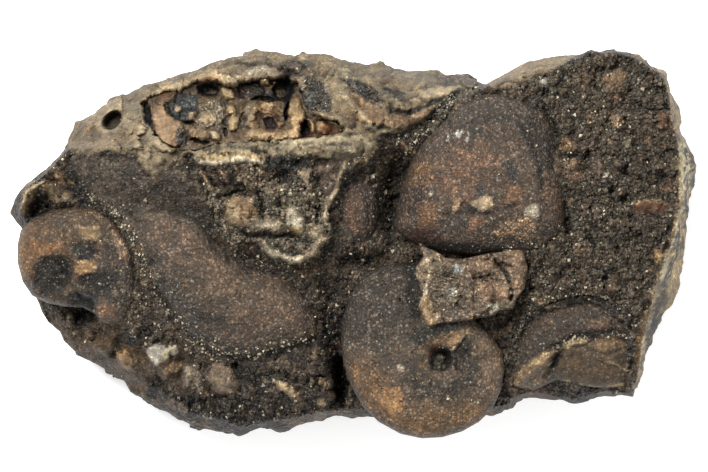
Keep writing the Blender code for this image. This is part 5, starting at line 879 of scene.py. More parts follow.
CRUST_AREAS = [
    ((168, 137, 103), 0.12, 0.4, [(-34.9, 24.4), (-33, 23.4), (-31.4, 21.8), (-30, 20.9), (-30.7, 19),
        (-30.6, 16.6), (-33, 17), (-34.4, 19), (-35.2, 21.6)]),
    ((112, 84, 56), 0.35, 0.4, [(-36, 25), (-32.6, 27.4), (-30.6, 26.4), (-31.2, 24.8), (-33.6, 24.4)]),
    ((78, 80, 79), 0.60, 0.3, [(-32.4, 25), (-30, 26.4), (-27.4, 26), (-27.4, 23.4), (-29, 21.4), (-31, 21.6),
        (-32.6, 23)]),
    ((112, 117, 118), 0.60, 0.3, [(-29.7, 25.8), (-28.2, 26), (-27.4, 25), (-27.6, 23.9), (-28.7, 23.7),
        (-29.3, 24.7)]),
    ((176, 158, 130), 0.20, 0.2, [(-31.4, 24.2), (-30.2, 24), (-30.3, 22.8), (-31.2, 22.8)]),
    ((168, 142, 112), 0.20, 0.2, [(-29, 22.9), (-27.6, 23), (-27.5, 21.7), (-28.9, 21.5)]),
    ((150, 136, 114), 0.85, 0.4, [(-27.4, 24.4), (-24, 25.4), (-22, 24.8), (-22.4, 20.4), (-24.6, 19.8),
        (-27.6, 20.4)]),
    ((178, 158, 122), 0.30, 0.4, [(-26.4, 22.8), (-24.6, 23.2), (-24, 21.6), (-25.6, 20.6), (-27, 21.4)]),
    ((150, 124, 92), 0.35, 0.3, [(-29, 20), (-25, 20.4), (-22.6, 18.6), (-23.2, 17.4), (-29, 18)]),
    ((74, 68, 58), 0.90, 0.3, [(-31, 20.2), (-29.2, 19.8), (-28.9, 17), (-30.8, 16.6)]),
    ((180, 158, 122), 0.08, 0.2, [(-23.4, 27.2), (-21.6, 27), (-20.5, 25.4), (-21.6, 25), (-23.4, 26)]),
    ((182, 160, 122), 0.08, 0.2, [(-22.1, 24), (-20.9, 23.8), (-20, 21.6), (-20.2, 19.8), (-21.6, 19.8),
        (-22, 21.4), (-21.4, 22.6)]),
    ((160, 142, 112), 0.40, 0.4, [(-19.6, 25), (-17, 25), (-16.6, 22.4), (-18, 20.4), (-19.4, 21)]),
    ((150, 120, 84), 0.25, 0.4, [(-17, 24.6), (-13.6, 25), (-12.2, 23.6), (-12.4, 20.6), (-13.6, 18.4),
        (-16.4, 18.8), (-17.6, 21)]),
    ((84, 50, 30), 0.20, 0.5, [(-16, 21.8), (-13.8, 21.6), (-13, 20.2), (-14.4, 18.8), (-15.6, 19.8)]),
    ((178, 152, 114), 0.12, 0.3, [(-18.6, 19.6), (-15.8, 19.2), (-12.6, 19), (-12.4, 17.6), (-19, 17.6)]),
    ((184, 156, 116), 0.12, 0.3, [(-11.4, 25.6), (-9.6, 25.4), (-8, 22.6), (-8.6, 21.4), (-9.8, 19.6),
        (-9.6, 17.8), (-12.8, 17.8), (-11.6, 20.4)]),
    ((96, 58, 34), 0.30, 0.3, [(-9.6, 21.4), (-8, 21.4), (-7.2, 19.4), (-7.4, 18), (-9.2, 18.4)]),
    ((120, 78, 48), 0.20, 0.3, [(-6.8, 21), (-4.4, 21.6), (-2.4, 19.8), (-3.4, 18.4), (-5.8, 18.8)]),
    ((176, 142, 106), 0.15, 0.25, [(-7.4, 22), (-5.6, 22), (-5.2, 20.6), (-6.4, 19), (-7.4, 19.4)]),
    ((206, 190, 160), 0.20, 0.2, [(-6.8, 22.6), (-4.4, 22.4), (-1.6, 21), (-2, 20.4), (-4, 20.9),
        (-6.2, 22)]),
    ((60, 48, 38), 1.00, 0.3, [(-20.6, 28.8), (-16.6, 28.6), (-15.2, 26.8), (-16, 25.4), (-20.4, 25.4)]),
    ((176, 156, 120), 0.15, 0.15, [(-16.5, 28), (-16, 29.6), (-14.9, 29.4), (-14.8, 27.8), (-15.6, 27.4)]),
    ((172, 152, 118), 0.15, 0.15, [(-14.3, 28.2), (-13.7, 28.8), (-13, 28), (-13.5, 27.2)]),
    # Near-black pockets: painted shadow under the hollow's upper rim, in the deep gap at its right and in the
    # crevice at its left.
    ((10, 8, 6), 0.30, 0.4, [(-27.8, 28), (-23.8, 28), (-23.8, 26), (-25.4, 25.7), (-27.6, 26)]),
    ((10, 7, 5), 0.30, 0.4, [(-14.4, 27.2), (-13, 30), (-10, 29.6), (-10.4, 25.4), (-11.4, 24.6), (-15.4, 25),
        (-16, 25.8)]),
    ((16, 11, 8), 0.30, 0.3, [(-38, 26), (-36, 25), (-35.2, 22), (-34.8, 19.4), (-33.6, 17.6), (-35, 17.4),
        (-38, 20)]),
    ((26, 15, 9), 0.30, 0.3, [(-12.4, 25), (-11.3, 25), (-11.4, 21.4), (-12, 20.6), (-12.4, 22)]),
]
CRUST_STREAKS = [
    ((36, 36, 36), 0.4, 0.25, [(-32.6, 24.4), (-32.3, 22.6), (-30.4, 21.5), (-28.8, 21)]),
    ((40, 38, 36), 0.4, 0.2, [(-31.9, 24.4), (-31.6, 23.2), (-30.7, 22.6), (-29.8, 23.4)]),
    ((48, 38, 28), 0.4, 0.2, [(-29, 18.3), (-27, 18.4), (-25.2, 17.6)]),
    ((200, 184, 152), 0.2, 0.22, [(-25, 19.6), (-24, 19), (-23.2, 17.8)]),
    ((92, 78, 60), 0.5, 0.3, [(-22.9, 23.6), (-22.3, 22), (-22.9, 20.4), (-23.6, 19.6)]),
    ((104, 86, 64), 0.5, 0.3, [(-19, 24.6), (-19.5, 23), (-18.9, 21.4), (-19.4, 20.2)]),
    ((96, 64, 38), 0.3, 0.2, [(-17.4, 22.4), (-16, 23.4), (-13.8, 22.8), (-12.6, 21.2)]),
    ((196, 170, 130), 0.1, 0.22, [(-16, 24.2), (-13.8, 24.6), (-12.8, 23)]),
    ((40, 24, 14), 0.3, 0.25, [(-8.4, 21), (-7.8, 19.8), (-7.6, 18.2)]),
]

# The fossil that the rock round it lies level with, and over what distance.
FLUSH = {"ammonite_middle_left": 3.0}

CRUST_BASE = ((140, 116, 86), 0.35)
SCRAP_LIGHT, SCRAP_LIGHT_FROM = 1.11, 110       # factor of the scrap's colours, from this red up
SCRAP_LIGHTEST = 240
# Colours of the small stones bedded in the sandy rock, of the sides and their paler layers, and of
# the palest loose grains. WARM turns the tables' colours, as bright lamps show them, into the stone's.
CLAST_TINTS = [(30, 26, 22), (104, 84, 64), (134, 116, 92), (98, 91, 76), (116, 90, 67), (84, 68, 52)]
SIDE_TINT, LAYER_TINT, PALE_TINT = (70, 57, 43), (146, 120, 82), (232, 222, 196)
WARM = 0.44 * np.array([1.0, 0.965, 0.90])
CLUMP_TINT = np.array([0.42, 0.28, 0.14])       # how much clumps of sand change red, green and blue

# ---------------------------------------------------------------- numbers of the finer shapes

# Noises: amount, spacing, seed and layers, each half as wide and half as strong as the one before.
NOISES = {
    "clast_borders": (0.35, 1.5, 205, 3), "relief_x": (0.35, 1.6, 5, 3), "relief_y": (0.35, 1.6, 9, 3),
    "colour_borders": (1.0, 1.3, 31, 3), "face_rolls": (0.5, 6.0, 3, 3), "face_bumps": (0.25, 2.2, 7, 3),
    "shell_dents": (0.18, 3.0, 61, 3), "shell_grain": (0.09, 1.0, 67, 3),
    "rock_borders": (1.0, 1.5, 71, 3), "rock_bumps": (0.30, 3.0, 77, 4), "hollow_rim": (0.4, 1.2, 95, 3),
    "crust_bends": (0.8, 2.0, 107, 3), "crust_folds": (1.0, 3.0, 103, 3),
    "crust_bumps": (0.20, 1.2, 109, 3), "crust_grain": (0.08, 0.5, 113, 3),
    "side_bumps": (0.9, 5.0, 111, 4), "sand_clumps": (1.0, 4.5, 141, 3),
}
# Noises that change with the height too: spacing and seed.
SKEWED_NOISES = {"worn": (4.0, 171), "shift_x": (5.0, 173), "shift_y": (5.0, 175),
                 "side_border": (6.0, 177), "layers": (7.0, 131)}
# Soft patches, darker and lighter: amount and seed, and how much more the sides have.
ROCK_MOTTLE, SHELL_MOTTLE, CRUST_MOTTLE = (0.24, 121), (0.32, 151), (0.22, 161)
SIDE_MOTTLE = 0.2
GROWTH_BEND = (4.0, 51)                         # spacing and seed of the bends in growth lines

GRAIN, GRAIN_SEED = 0.9, 81                     # spacing and seed of the rock's sandy grains
CLASTS = ((2.1, 201, 0.50), (3.8, 211, 0.62))   # spacing, seed and share of the stones left out
CLAST_PIT, CLAST_RISE = -1.1, 0.8               # where the darkest kind fell out, and the others
BROKEN_SEED = 300
SHELL_BREAKS = ((1.0, 3.0, 207), (0.6, 1.3, 209))               # amount, spacing and seed
BROKEN_WHORL_DEPTH = 1.3
SHELL_GAP = 0.6                                 # how much shallower than in the solids a shell is below
BANK_REACH = 2.4                                # how far rock is banked up round a fossil
COVER, COVER_FALL = 3.0, 4.2                    # rock over a shell at its border, and how far it drops
COVER_REACH = (0.4, 2.2)                        # from where to where inside the border it drops

LEVEL_STEP = 0.8                                # over what distance the face's fall is measured
ROCK_LOSS, CRUST_LOSS = 0.6, 0.45               # how fast a fall takes away the relief
STEEP = 0.5                                     # loss from which rock is too steep for loose grains

ROCK_GRID, ROCK_BEND = (368, 206), 0.92
SIDE_RINGS = 20
SIDE_INSETS = ([0.0, 0.38, 0.70, 1.0], [1.0, 1.0, 0.945, 0.775])   # way down, and size of the ring
SIDE_HEIGHT = 34.0                              # at which the sides' noise is sampled
SIDE_STONES = (1.6, 115)                        # spacing and seed
CRUST_GRID, CRUST_BEND = (260, 130), 0.95
CRUST_SIZE, CRUST_UNDER = 0.99, 2.0             # share of the hollow's outline, and thickness
DEEP_RIGHT, DEEP_BACK = (-31.0, -24.0), (17.0, 25.0)   # where along X and Y the bed gets deep
CRUST_RIM = 2.5                                 # how far from the rim the bed stops rising
# Painted shade on the crust: the lower it lies over its bed, the darker.
CRUST_SHADE = (-1.4, 2.0)                       # heights over the bed of the darkest and lightest
CRUST_DARKEST = 0.25                            # factor at the lowest of them
# Painted shade where a shell meets the rock round it.
RIM_START, RIM_SHADE = 0.93, 0.45                # where a shell darkens to its rim, and how much
BAND_SHARE, BAND_AMOUNT = 0.37, 0.05            # colour bands for each growth line, and strength
WEAR_FULL, WEAR_AMOUNT = 0.9, 0.6               # loss at which the front's rim is most uneven
EDGE_SHIFT = 1.5                                # how far colour borders wander where it's steep
SIDE_GRIT = 0.55
# Painted shade in dips and lighter wear on crests: reach in cells, depth at which they are full, factor in
# dips and on crests.
DIP_SHADE_AND_WEAR = ((2, 0.5, 0.60, 1.35), (5, 1.2, 0.60, 1.25), (12, 3.0, 0.5, 1.15))

SEED = 41
GRAIN_FIELD = (60.0, 34.0)                      # half the length and width that grains fall on
LONGER, MOVED = 0.45, 0.25                      # how much a grain's corners differ
SIZE_SPREAD = 0.35                              # of the lognormal sizes
GRAIN_RISE = 0.35                               # how far a grain stands out, as a share of its size
STRENGTHS, TINTS = (0.25, 1.0), (0.35, 1.3)     # range of brightness, of special and plain grains
CLAST_FROM, CLAST_LIGHT = 0.85, 1.3             # share of plain grains, and light of the others
ON_PLATE = 0.8                                  # how far from the outline they stay
GRAIN_CORNERS = np.array([(1, 0, 0), (-1, 0, 0), (0, 1, 0), (0, -1, 0), (0, 0, 1), (0, 0, -1)], float)
GRAIN_SIDES = np.array([(0, 2, 4), (2, 1, 4), (1, 3, 4), (3, 0, 4),
                        (2, 0, 5), (1, 2, 5), (3, 1, 5), (0, 3, 5)])

# ---------------------------------------------------------------- measures of paths and fields

def distance_to(path, x, y, closed=False):
    """Distance from each point to a path of straight stretches."""
    corners = list(path) + [path[0]] if closed else path
    nearest = np.full(x.shape, np.inf)
    for (ax, ay), (bx, by) in zip(corners[:-1], corners[1:]):
        dx, dy = bx - ax, by - ay
        along = np.clip(((x - ax) * dx + (y - ay) * dy) / (dx * dx + dy * dy), 0.0, 1.0)
        nearest = np.minimum(nearest, np.hypot(x - ax - along * dx, y - ay - along * dy))
    return nearest


def depth_inside(path, x, y):
    """Distance to a closed path, positive inside it and negative outside."""
    crossed = np.zeros(x.shape, bool)
    for (ax, ay), (bx, by) in zip(path, path[1:] + path[:1]):
        if ay != by:
            crossed ^= ((ay > y) != (by > y)) & (x < (bx - ax) * (y - ay) / (by - ay) + ax)
    return np.where(crossed, 1.0, -1.0) * distance_to(path, x, y, closed=True)


def reach(path, centre, angles):
    """Distance from centre to a closed path in each direction."""
    corners = np.array(path, float) - np.array(centre, float)
    found = np.zeros(angles.shape)
    ray_x, ray_y = np.cos(angles), np.sin(angles)
    for (ax, ay), (bx, by) in zip(corners, np.roll(corners, -1, axis=0)):
        dx, dy = bx - ax, by - ay
        turn = ray_x * dy - ray_y * dx
        turn = np.where(np.abs(turn) < 1e-12, 1e-12, turn)
        far = (ax * dy - ay * dx) / turn
        along = (ax * ray_y - ay * ray_x) / turn
        hit = (along > -1e-9) & (along < 1.0 + 1e-9) & (far > 0.0)
        found = np.where(hit, np.maximum(found, far), found)
    return found


def smooth_step(low, high, value):
    """0 below low, 1 above high and smooth between."""
    share = np.clip((value - low) / (high - low), 0.0, 1.0)
    return share * share * (3.0 - 2.0 * share)


def hashed(ix, iy, seed):
    """A repeatable random number from 0 to 1 for each cell of a lattice."""
    n = (ix.astype(np.int64) * 374761393 + iy.astype(np.int64) * 668265263 + seed * 974634777)
    n = (n ^ (n >> 13)) * 1274126177
    n = (n ^ (n >> 16)) & 0xFFFFFF
    return n / float(0xFFFFFF)


def soft_noise(x, y, spacing, seed):
    """Smooth gradient noise, from about -1 to 1."""
    gx, gy = x / spacing, y / spacing
    ix, iy = np.floor(gx), np.floor(gy)
    fx, fy = gx - ix, gy - iy
    ease_x, ease_y = (f * f * f * (f * (f * 6.0 - 15.0) + 10.0) for f in (fx, fy))

    def corner(sx, sy):
        turn = 2.0 * math.pi * hashed(ix + sx, iy + sy, seed)
        return np.cos(turn) * (fx - sx) + np.sin(turn) * (fy - sy)

    low = corner(0, 0) * (1.0 - ease_x) + corner(1, 0) * ease_x
    high = corner(0, 1) * (1.0 - ease_x) + corner(1, 1) * ease_x
    return 1.5 * (low * (1.0 - ease_y) + high * ease_y)


def layered(x, y, spacing, seed, layers=3):
    """Noise and finer noise on it."""
    total = np.zeros(x.shape)
    for layer in range(layers):
        total += soft_noise(x, y, spacing / 2 ** layer, seed + 17 * layer) / 2 ** layer
    return total


def noise(name, x, y):
    """A noise of the table."""
    amount, *rest = NOISES[name]
    return amount * layered(x, y, *rest)


def skewed(name, x, y, z):
    """A noise that changes with the height too, for steep sides."""
    spacing, seed = SKEWED_NOISES[name]
    return 0.7 * (layered(x + 0.8 * z, y - 0.6 * z, spacing, seed)
                  + layered(x - 0.7 * z, y - 0.7 * z, spacing, seed + 7))


def cells(x, y, spacing, seed):
    """The nearest of scattered points: how far the next one is beyond it, its number, the way from it."""
    gx, gy = x / spacing, y / spacing
    ix, iy = np.floor(gx), np.floor(gy)
    nearest, second = np.full(x.shape, 9.0), np.full(x.shape, 9.0)
    number, from_x, from_y = np.zeros(x.shape), np.zeros(x.shape), np.zeros(x.shape)
    for sx in (-1, 0, 1):
        for sy in (-1, 0, 1):
            px = ix + sx + 0.1 + 0.8 * hashed(ix + sx, iy + sy, seed)
            py = iy + sy + 0.1 + 0.8 * hashed(ix + sx, iy + sy, seed + 1)
            apart = np.hypot(gx - px, gy - py)
            closer = apart < nearest
            second = np.where(closer, nearest, np.minimum(second, apart))
            number = np.where(closer, hashed(ix + sx, iy + sy, seed + 2), number)
            from_x = np.where(closer, gx - px, from_x)
            from_y = np.where(closer, gy - py, from_y)
            nearest = np.where(closer, apart, nearest)
    return second - nearest, number, from_x, from_y


def stones(x, y, spacing, seed):
    """Packed grains: how domed each point of its grain is, from 0 to 1, and the grain's own number."""
    gap, number, _, _ = cells(x, y, spacing, seed)
    return smooth_step(0.0, 0.45, gap), number


def clasts(x, y):
    """Small stones bedded in the sandy rock: how far each point is in one, and its kind."""
    warp = noise("clast_borders", x, y)
    share, kind = np.zeros(x.shape), np.zeros(x.shape, int)
    for spacing, seed, least in CLASTS:
        gap, number, _, _ = cells(x + warp, y - warp, spacing, seed)
        here = smooth_step(0.06, 0.28, gap) * (number > least)
        kind = np.where(here > share, (number * 997.0).astype(int) % len(CLAST_TINTS), kind)
        share = np.maximum(share, here)
    return share, kind


def broken(x, y, spacing, seed):
    """Broken stone: flat pieces that lean their own ways, from about -0.5 to 0.5 of the spacing."""
    warp_x = x + 0.22 * spacing * layered(x, y, 0.6 * spacing, seed + 5)
    warp_y = y + 0.22 * spacing * layered(x, y, 0.6 * spacing, seed + 6)
    gap, number, from_x, from_y = cells(warp_x, warp_y, spacing, seed)
    other = (number * 57.0) % 1.0
    third = (number * 931.0) % 1.0
    lean = (2.0 * number - 1.0) * from_x + (2.0 * other - 1.0) * from_y + 0.6 * (third - 0.5)
    return spacing * lean - 0.12 * spacing * (1.0 - smooth_step(0.0, 0.12, gap))


def in_oval(x, y, place):
    """Where each point is in an oval, along it and across it: 1 is at its border."""
    cx, cy, along, across, turn = place[:5]
    angle = math.radians(turn)
    return (((x - cx) * math.cos(angle) + (y - cy) * math.sin(angle)) / along,
            ((y - cy) * math.cos(angle) - (x - cx) * math.sin(angle)) / across)


def dome(x, y, place):
    """0 outside an oval and 1 at its middle."""
    u, v = in_oval(x, y, place)
    return np.clip(1.0 - u * u - v * v, 0.0, 1.0)


def mound(x, y, place):
    """A dome with a broader top."""
    return dome(x, y, place) ** 0.7


def crag(x, y, place):
    """0 outside an oval and up to 1 in it, with flat sides and a leaning flat top."""
    u, v = in_oval(x, y, place)
    rng = np.random.default_rng(abs(int(100 * place[0]) * 7 + int(100 * place[1])))
    share = 0.85 + 0.30 * (u * rng.uniform(-1, 1) + v * rng.uniform(-1, 1))
    for side in range(6):
        way = math.radians(60.0 * side + rng.uniform(-25, 25))
        share = np.minimum(share, (1.0 - u * math.cos(way) - v * math.sin(way))
                           * rng.uniform(1.2, 2.6))
    return np.clip(share, 0.0, 1.0)


def relief(x, y, ovals, lines, raised):
    """Height that a table of ovals and a table of lines add, where raised shapes the ovals."""
    wobble_x, wobble_y = x + noise("relief_x", x, y), y + noise("relief_y", x, y)
    total = np.zeros(x.shape)
    for oval in ovals:
        if oval[5] > 0:
            total += oval[5] * raised(wobble_x, wobble_y, oval)
        else:
            total += oval[5] * smooth_step(0.0, 0.8, dome(wobble_x, wobble_y, oval))
    for height, width, path in lines:
        total += height * np.exp(-(distance_to(path, wobble_x, wobble_y) / width) ** 2)
    return total


def linear(colour):
    """An sRGB colour from 0 to 255 as the linear one that a shader takes."""
    value = np.array(colour, float) / 255.0
    return WARM * np.where(value <= 0.04045, value / 12.92, ((value + 0.055) / 1.055) ** 2.4)


def paler(entry):
    """An entry of the scrap's tables, with its colour made paler if it's a light one."""
    colour, *rest = entry
    if colour[0] < SCRAP_LIGHT_FROM:
        return entry
    return tuple(min(round(SCRAP_LIGHT * value), SCRAP_LIGHTEST) for value in colour), *rest


SCRAP = SHELLS["shell_scrap"]
SCRAP["base"] = paler(SCRAP["base"])
for key in ("areas", "streaks"):
    SCRAP[key] = [paler(entry) for entry in SCRAP[key]]


def painted(x, y, base, areas, streaks=()):
    """Colour and grit of each point, with every area's border ragged."""
    ragged = noise("colour_borders", x, y)
    colour = np.tile(linear(base[0]), (len(x), 1))
    grit = np.full(len(x), base[1])

    def lay(tint, rough, share):
        nonlocal colour, grit
        colour += (linear(tint) - colour) * share[:, None]
        grit += (rough - grit) * share

    for tint, rough, soft, path in areas:
        depth = depth_inside(path, x, y) + ragged * (0.15 + 0.50 * soft)
        lay(tint, rough, smooth_step(-soft, soft, depth))
    for tint, rough, width, path in streaks:
        apart = distance_to(path, x, y) + 0.35 * ragged
        lay(tint, rough, 1.0 - smooth_step(0.4 * width, 1.3 * width, apart))
    return colour, grit


def mottled(x, y, colour, amount, seed):
    """The colour made lighter and darker in soft patches."""
    change = 1.0 + amount * (layered(x, y, 3.2, seed) + 0.7 * layered(x, y, 0.8, seed + 3))
    return colour * np.clip(change, 0.35, 1.9)[:, None]


def smoothed(field, reach_cells):
    """The field averaged over a square of cells round each point."""
    span = 2 * reach_cells + 1
    for axis in (0, 1):
        padded = np.pad(field, [(reach_cells, reach_cells) if axis == side else (0, 0)
                                for side in (0, 1)], mode="edge")
        total = np.insert(np.cumsum(padded, axis=axis), 0, 0.0, axis=axis)
        high = np.take(total, range(span, total.shape[axis]), axis=axis)
        low = np.take(total, range(total.shape[axis] - span), axis=axis)
        field = (high - low) / span
    return field


def dip_shade_and_crest_wear(field):
    """Painted shade in the dips of a height field and lighter wear on its crests, as a factor."""
    shade = np.ones(field.size)
    for reach_cells, depth, least, most in DIP_SHADE_AND_WEAR:
        lower = (smoothed(field, reach_cells) - field).ravel()
        shade *= 1.0 - (1.0 - least) * smooth_step(0.0, depth, lower)
        shade *= 1.0 + (most - 1.0) * smooth_step(0.0, depth, -lower)
    return shade[:, None]


# ---------------------------------------------------------------- heights of rock and shells

def new_spot_surface():
    """A function for the smooth surface through the spot heights."""
    spots = np.array(SPOT_HEIGHTS, float)

    def kernel(ax, ay):
        apart = (ax[:, None] - spots[:, 0]) ** 2 + (ay[:, None] - spots[:, 1]) ** 2
        return np.sqrt(apart + SPOT_ROUNDING ** 2)

    weights = np.linalg.solve(kernel(spots[:, 0], spots[:, 1]), spots[:, 2])
    return lambda x, y: kernel(x, y) @ weights


spot_surface = new_spot_surface()


def face_height(x, y):
    """Height of the bare front face over the resting face."""
    from_outline = distance_to(PLATE_OUTLINE, x, y, closed=True)
    from_face = np.maximum(-depth_inside(FRONT_EDGE, x, y), 0.0)
    share = from_outline / np.maximum(from_outline + from_face, 1e-6)
    waist = np.interp(np.degrees(np.arctan2(y, x)), *zip(*WAIST_HEIGHTS))
    height = waist + (spot_surface(x, y) - waist) * share ** EDGE_CURVE
    return height + (noise("face_rolls", x, y) + noise("face_bumps", x, y)) * share


def levelness(x, y, height, loss=ROCK_LOSS):
    """1 where the front is level and less the steeper it falls towards the outline."""
    inwards = 1.0 - LEVEL_STEP / np.maximum(np.hypot(x, y), 1.0)
    fall = (face_height(x * inwards, y * inwards) - height) / LEVEL_STEP
    return 1.0 / (1.0 + loss * fall ** 2)


def from_centre(shape, x, y):
    """Distance from a fossil's centre as a share of its reach."""
    cx, cy = shape["centre"]
    return np.hypot(x - cx, y - cy) / reach(shape["outline"], shape["centre"], np.arctan2(y - cy, x - cx))


def shell_height(name, x, y):
    """Height of a fossil's top, with its finer relief."""
    shape, look = FOSSILS[name], SHELLS[name]
    share = np.minimum(from_centre(shape, x, y), 1.0)
    rise = (1.0 - share ** shape["fullness"]) ** (1.0 / shape["fullness"])
    cx, cy = shape["centre"]
    plane = shape["height"] + shape["tilt"][0] * (x - cx) + shape["tilt"][1] * (y - cy)
    (gx, gy), count, lean, strength = look["growth"]
    from_start = np.hypot(x - gx, y - gy)
    lines = np.sin(count * (np.arctan2(y - gy, x - gx) + lean * from_start)
                   + 2.0 * soft_noise(x, y, *GROWTH_BEND))
    fine = relief(x, y, look["ovals"], look["lines"], crag) + strength * lines
    fine += noise("shell_dents", x, y) + noise("shell_grain", x, y)
    if "rough" in look:
        fine += look["rough"] * sum(amount * broken(x, y, *rest) for amount, *rest in SHELL_BREAKS)
    if name == "ammonite_lower_right":
        fine -= BROKEN_WHORL_DEPTH * smooth_step(-0.5, 0.5, depth_inside(BROKEN_WHORL, x, y))
    return plane + (shape["crown"] + fine) * rise


def rock_height(x, y):
    """Height of the rock's front with what stands on it and what is cut from it."""
    face = face_height(x, y)
    _, grit = painted(x, y, ROCK_BASE, ROCK_AREAS)
    ragged = noise("rock_borders", x, y)
    depths = {name: depth_inside(shape["outline"], x, y) for name, shape in FOSSILS.items()}
    for name, reach_out in FLUSH.items():
        level = shell_height(name, x, y) + 0.2 * ragged
        face += (level - face) * np.exp(-(np.maximum(-depths[name], 0.0) / reach_out) ** 2)
    gentle = levelness(x, y, face)
    height = face + KNOB_HEIGHT * smooth_step(-0.3, 0.5, depth_inside(KNOB_OUTLINE, x, y)
                                              + 0.7 * ragged)
    height += relief(x, y, ROCK_OVALS, ROCK_LINES, crag)
    for number, (path, spacing, amount) in enumerate(BROKEN_STONE):
        share = amount * smooth_step(-0.6, 0.6, depth_inside(path, x, y) + 0.5 * ragged)
        seed = BROKEN_SEED + 10 * number
        height += share * broken(x, y, spacing, seed)
        height += share * (0.1 + 0.6 * grit) * broken(x, y, 0.4 * spacing, seed + 5)
    for name, shape in FOSSILS.items():
        outside = np.maximum(-depths[name], 0.0)
        height += shape["bank"] * (1.0 + 0.35 * ragged) * np.exp(-(outside / BANK_REACH) ** 2)
    height += noise("rock_bumps", x, y)
    grains, number = stones(x, y, GRAIN, GRAIN_SEED)
    height += grit * (0.50 * grains * (0.3 + 1.1 * number) - 0.25)
    bedded, kind = clasts(x, y)
    height += grit * bedded * np.where(kind == 0, CLAST_PIT, CLAST_RISE)
    height = face + (height - face) * gentle
    in_hollow = depth_inside(HOLLOW_OUTLINE, x, y) + noise("hollow_rim", x, y)
    height -= HOLLOW_DEPTH * smooth_step(-0.25, 0.7, in_hollow)
    in_bore = 1.0 - np.sqrt(np.maximum(1.0 - dome(x, y, (*BORE_PLACE, *BORE_RADII, BORE_TURN)), 0.0))
    height -= BORE_DEPTH * smooth_step(0.0, 0.35, in_bore)
    for name, shape in FOSSILS.items():
        near = depths[name] > 0.0
        depth = depths[name][near] + 0.4 * ragged[near]
        cover = COVER - COVER_FALL * smooth_step(*shape.get("cover", COVER_REACH), depth)
        height[near] = np.minimum(height[near], shell_height(name, x[near], y[near]) + cover)
    return height


def crust_bed(x, y):
    """Height that the crust's lumps stand on: deepest at the hollow's upper right, and higher at its rim."""
    right = smooth_step(*DEEP_RIGHT, x)
    deeper = 0.55 + 0.45 * smooth_step(*DEEP_BACK, y) * (0.2 + 0.8 * right)
    at_rim = 1.0 - smooth_step(0.0, CRUST_RIM, depth_inside(HOLLOW_OUTLINE, x, y))
    return face_height(x, y) - CRUST_DEPTH * deeper * (1.0 - (0.45 - 0.30 * right) * at_rim)


def crust_height(x, y):
    """Height of the crust's top in the hollow."""
    folds = 0.6 - 1.6 * np.abs(noise("crust_folds", x + noise("crust_bends", x, y), y))
    lumps = (relief(x, y, CRUST_OVALS, CRUST_LINES, mound) + 0.55 * folds
             + noise("crust_bumps", x, y) + noise("crust_grain", x, y))
    return crust_bed(x, y) + lumps * levelness(x, y, face_height(x, y), CRUST_LOSS)


# ---------------------------------------------------------------- meshes

def link(piece):
    bpy.context.scene.collection.objects.link(piece)
    return piece


def new_piece(name, points, faces, colour, grit, material, node=None, smooth=True):
    """A mesh in metres, from points in millimetres, that rides on the plate and may replace a node."""
    mesh = bpy.data.meshes.new(name)
    mesh.from_pydata((points * MM).tolist(), [], faces)
    mesh.update()
    tint = mesh.attributes.new("tint", "FLOAT_COLOR", "POINT")
    tint.data.foreach_set("color", np.c_[colour, np.ones(len(colour))].astype(np.float32).ravel())
    sand = mesh.attributes.new("grit", "FLOAT", "POINT")
    sand.data.foreach_set("value", grit.astype(np.float32))
    mesh.polygons.foreach_set("use_smooth", [smooth] * len(mesh.polygons))
    mesh.materials.append(material)
    piece = link(bpy.data.objects.new(name, mesh))
    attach(piece, "root")
    if node:
        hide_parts(node)
    return piece


def between(above, below):
    """Faces between two rings with as many points."""
    return np.stack([above, below, np.roll(below, -1), np.roll(above, -1)], axis=1).tolist()


def closed_by(ring, centre):
    """Faces from a ring down to the point in its middle."""
    return np.stack([ring, np.full(len(ring), centre), np.roll(ring, -1)], axis=1).tolist()


def stretched_grid(outline, centre, grid, bend):
    """A square grid stretched to an outline: x, y, faces and the points of its rim in order.

    bend is the share of the cells in the inner 95%: less than that makes finer cells near the rim."""
    columns, rows = grid
    u, v = np.meshgrid(np.linspace(-1, 1, columns + 1), np.linspace(-1, 1, rows + 1))
    u, v = u.ravel(), v.ravel()
    half_x, half_y = (max(abs(point[axis] - centre[axis]) for point in outline) for axis in (0, 1))
    angles = np.arctan2(v * half_y, u * half_x)
    out = np.interp(np.maximum(np.abs(u), np.abs(v)), [0.0, bend, 1.0], [0.0, 0.95, 1.0])
    out *= reach(outline, centre, angles)
    index = np.arange((rows + 1) * (columns + 1)).reshape(rows + 1, columns + 1)
    faces = np.stack([index[:-1, :-1], index[:-1, 1:], index[1:, 1:], index[1:, :-1]],
                     axis=-1).reshape(-1, 4).tolist()
    rim = np.concatenate([index[0, :-1], index[:-1, -1], index[-1, :0:-1], index[:0:-1, 0]])
    return centre[0] + out * np.cos(angles), centre[1] + out * np.sin(angles), faces, rim


def side_rings(points, rim):
    """The rings of the block's sides, from the rim of its front down to the resting face."""
    x, y, z = points[rim].T
    length = np.cumsum(np.hypot(np.diff(x, append=x[0]), np.diff(y, append=y[0])))
    rings = []
    for ring in range(1, SIDE_RINGS + 1):
        down = ring / SIDE_RINGS
        level = np.full(len(rim), SIDE_HEIGHT * down)
        bump = noise("side_bumps", length, level)
        bump += 0.15 * stones(length, level, *SIDE_STONES)[0] - 0.5
        bump *= smooth_step(0.0, 0.08, down) * (1.0 - smooth_step(0.9, 1.0, down))
        grown = np.interp(down, *SIDE_INSETS) + bump / np.hypot(x, y)
        rings.append(np.c_[x * grown, y * grown, z * (1.0 - down)])
    return rings


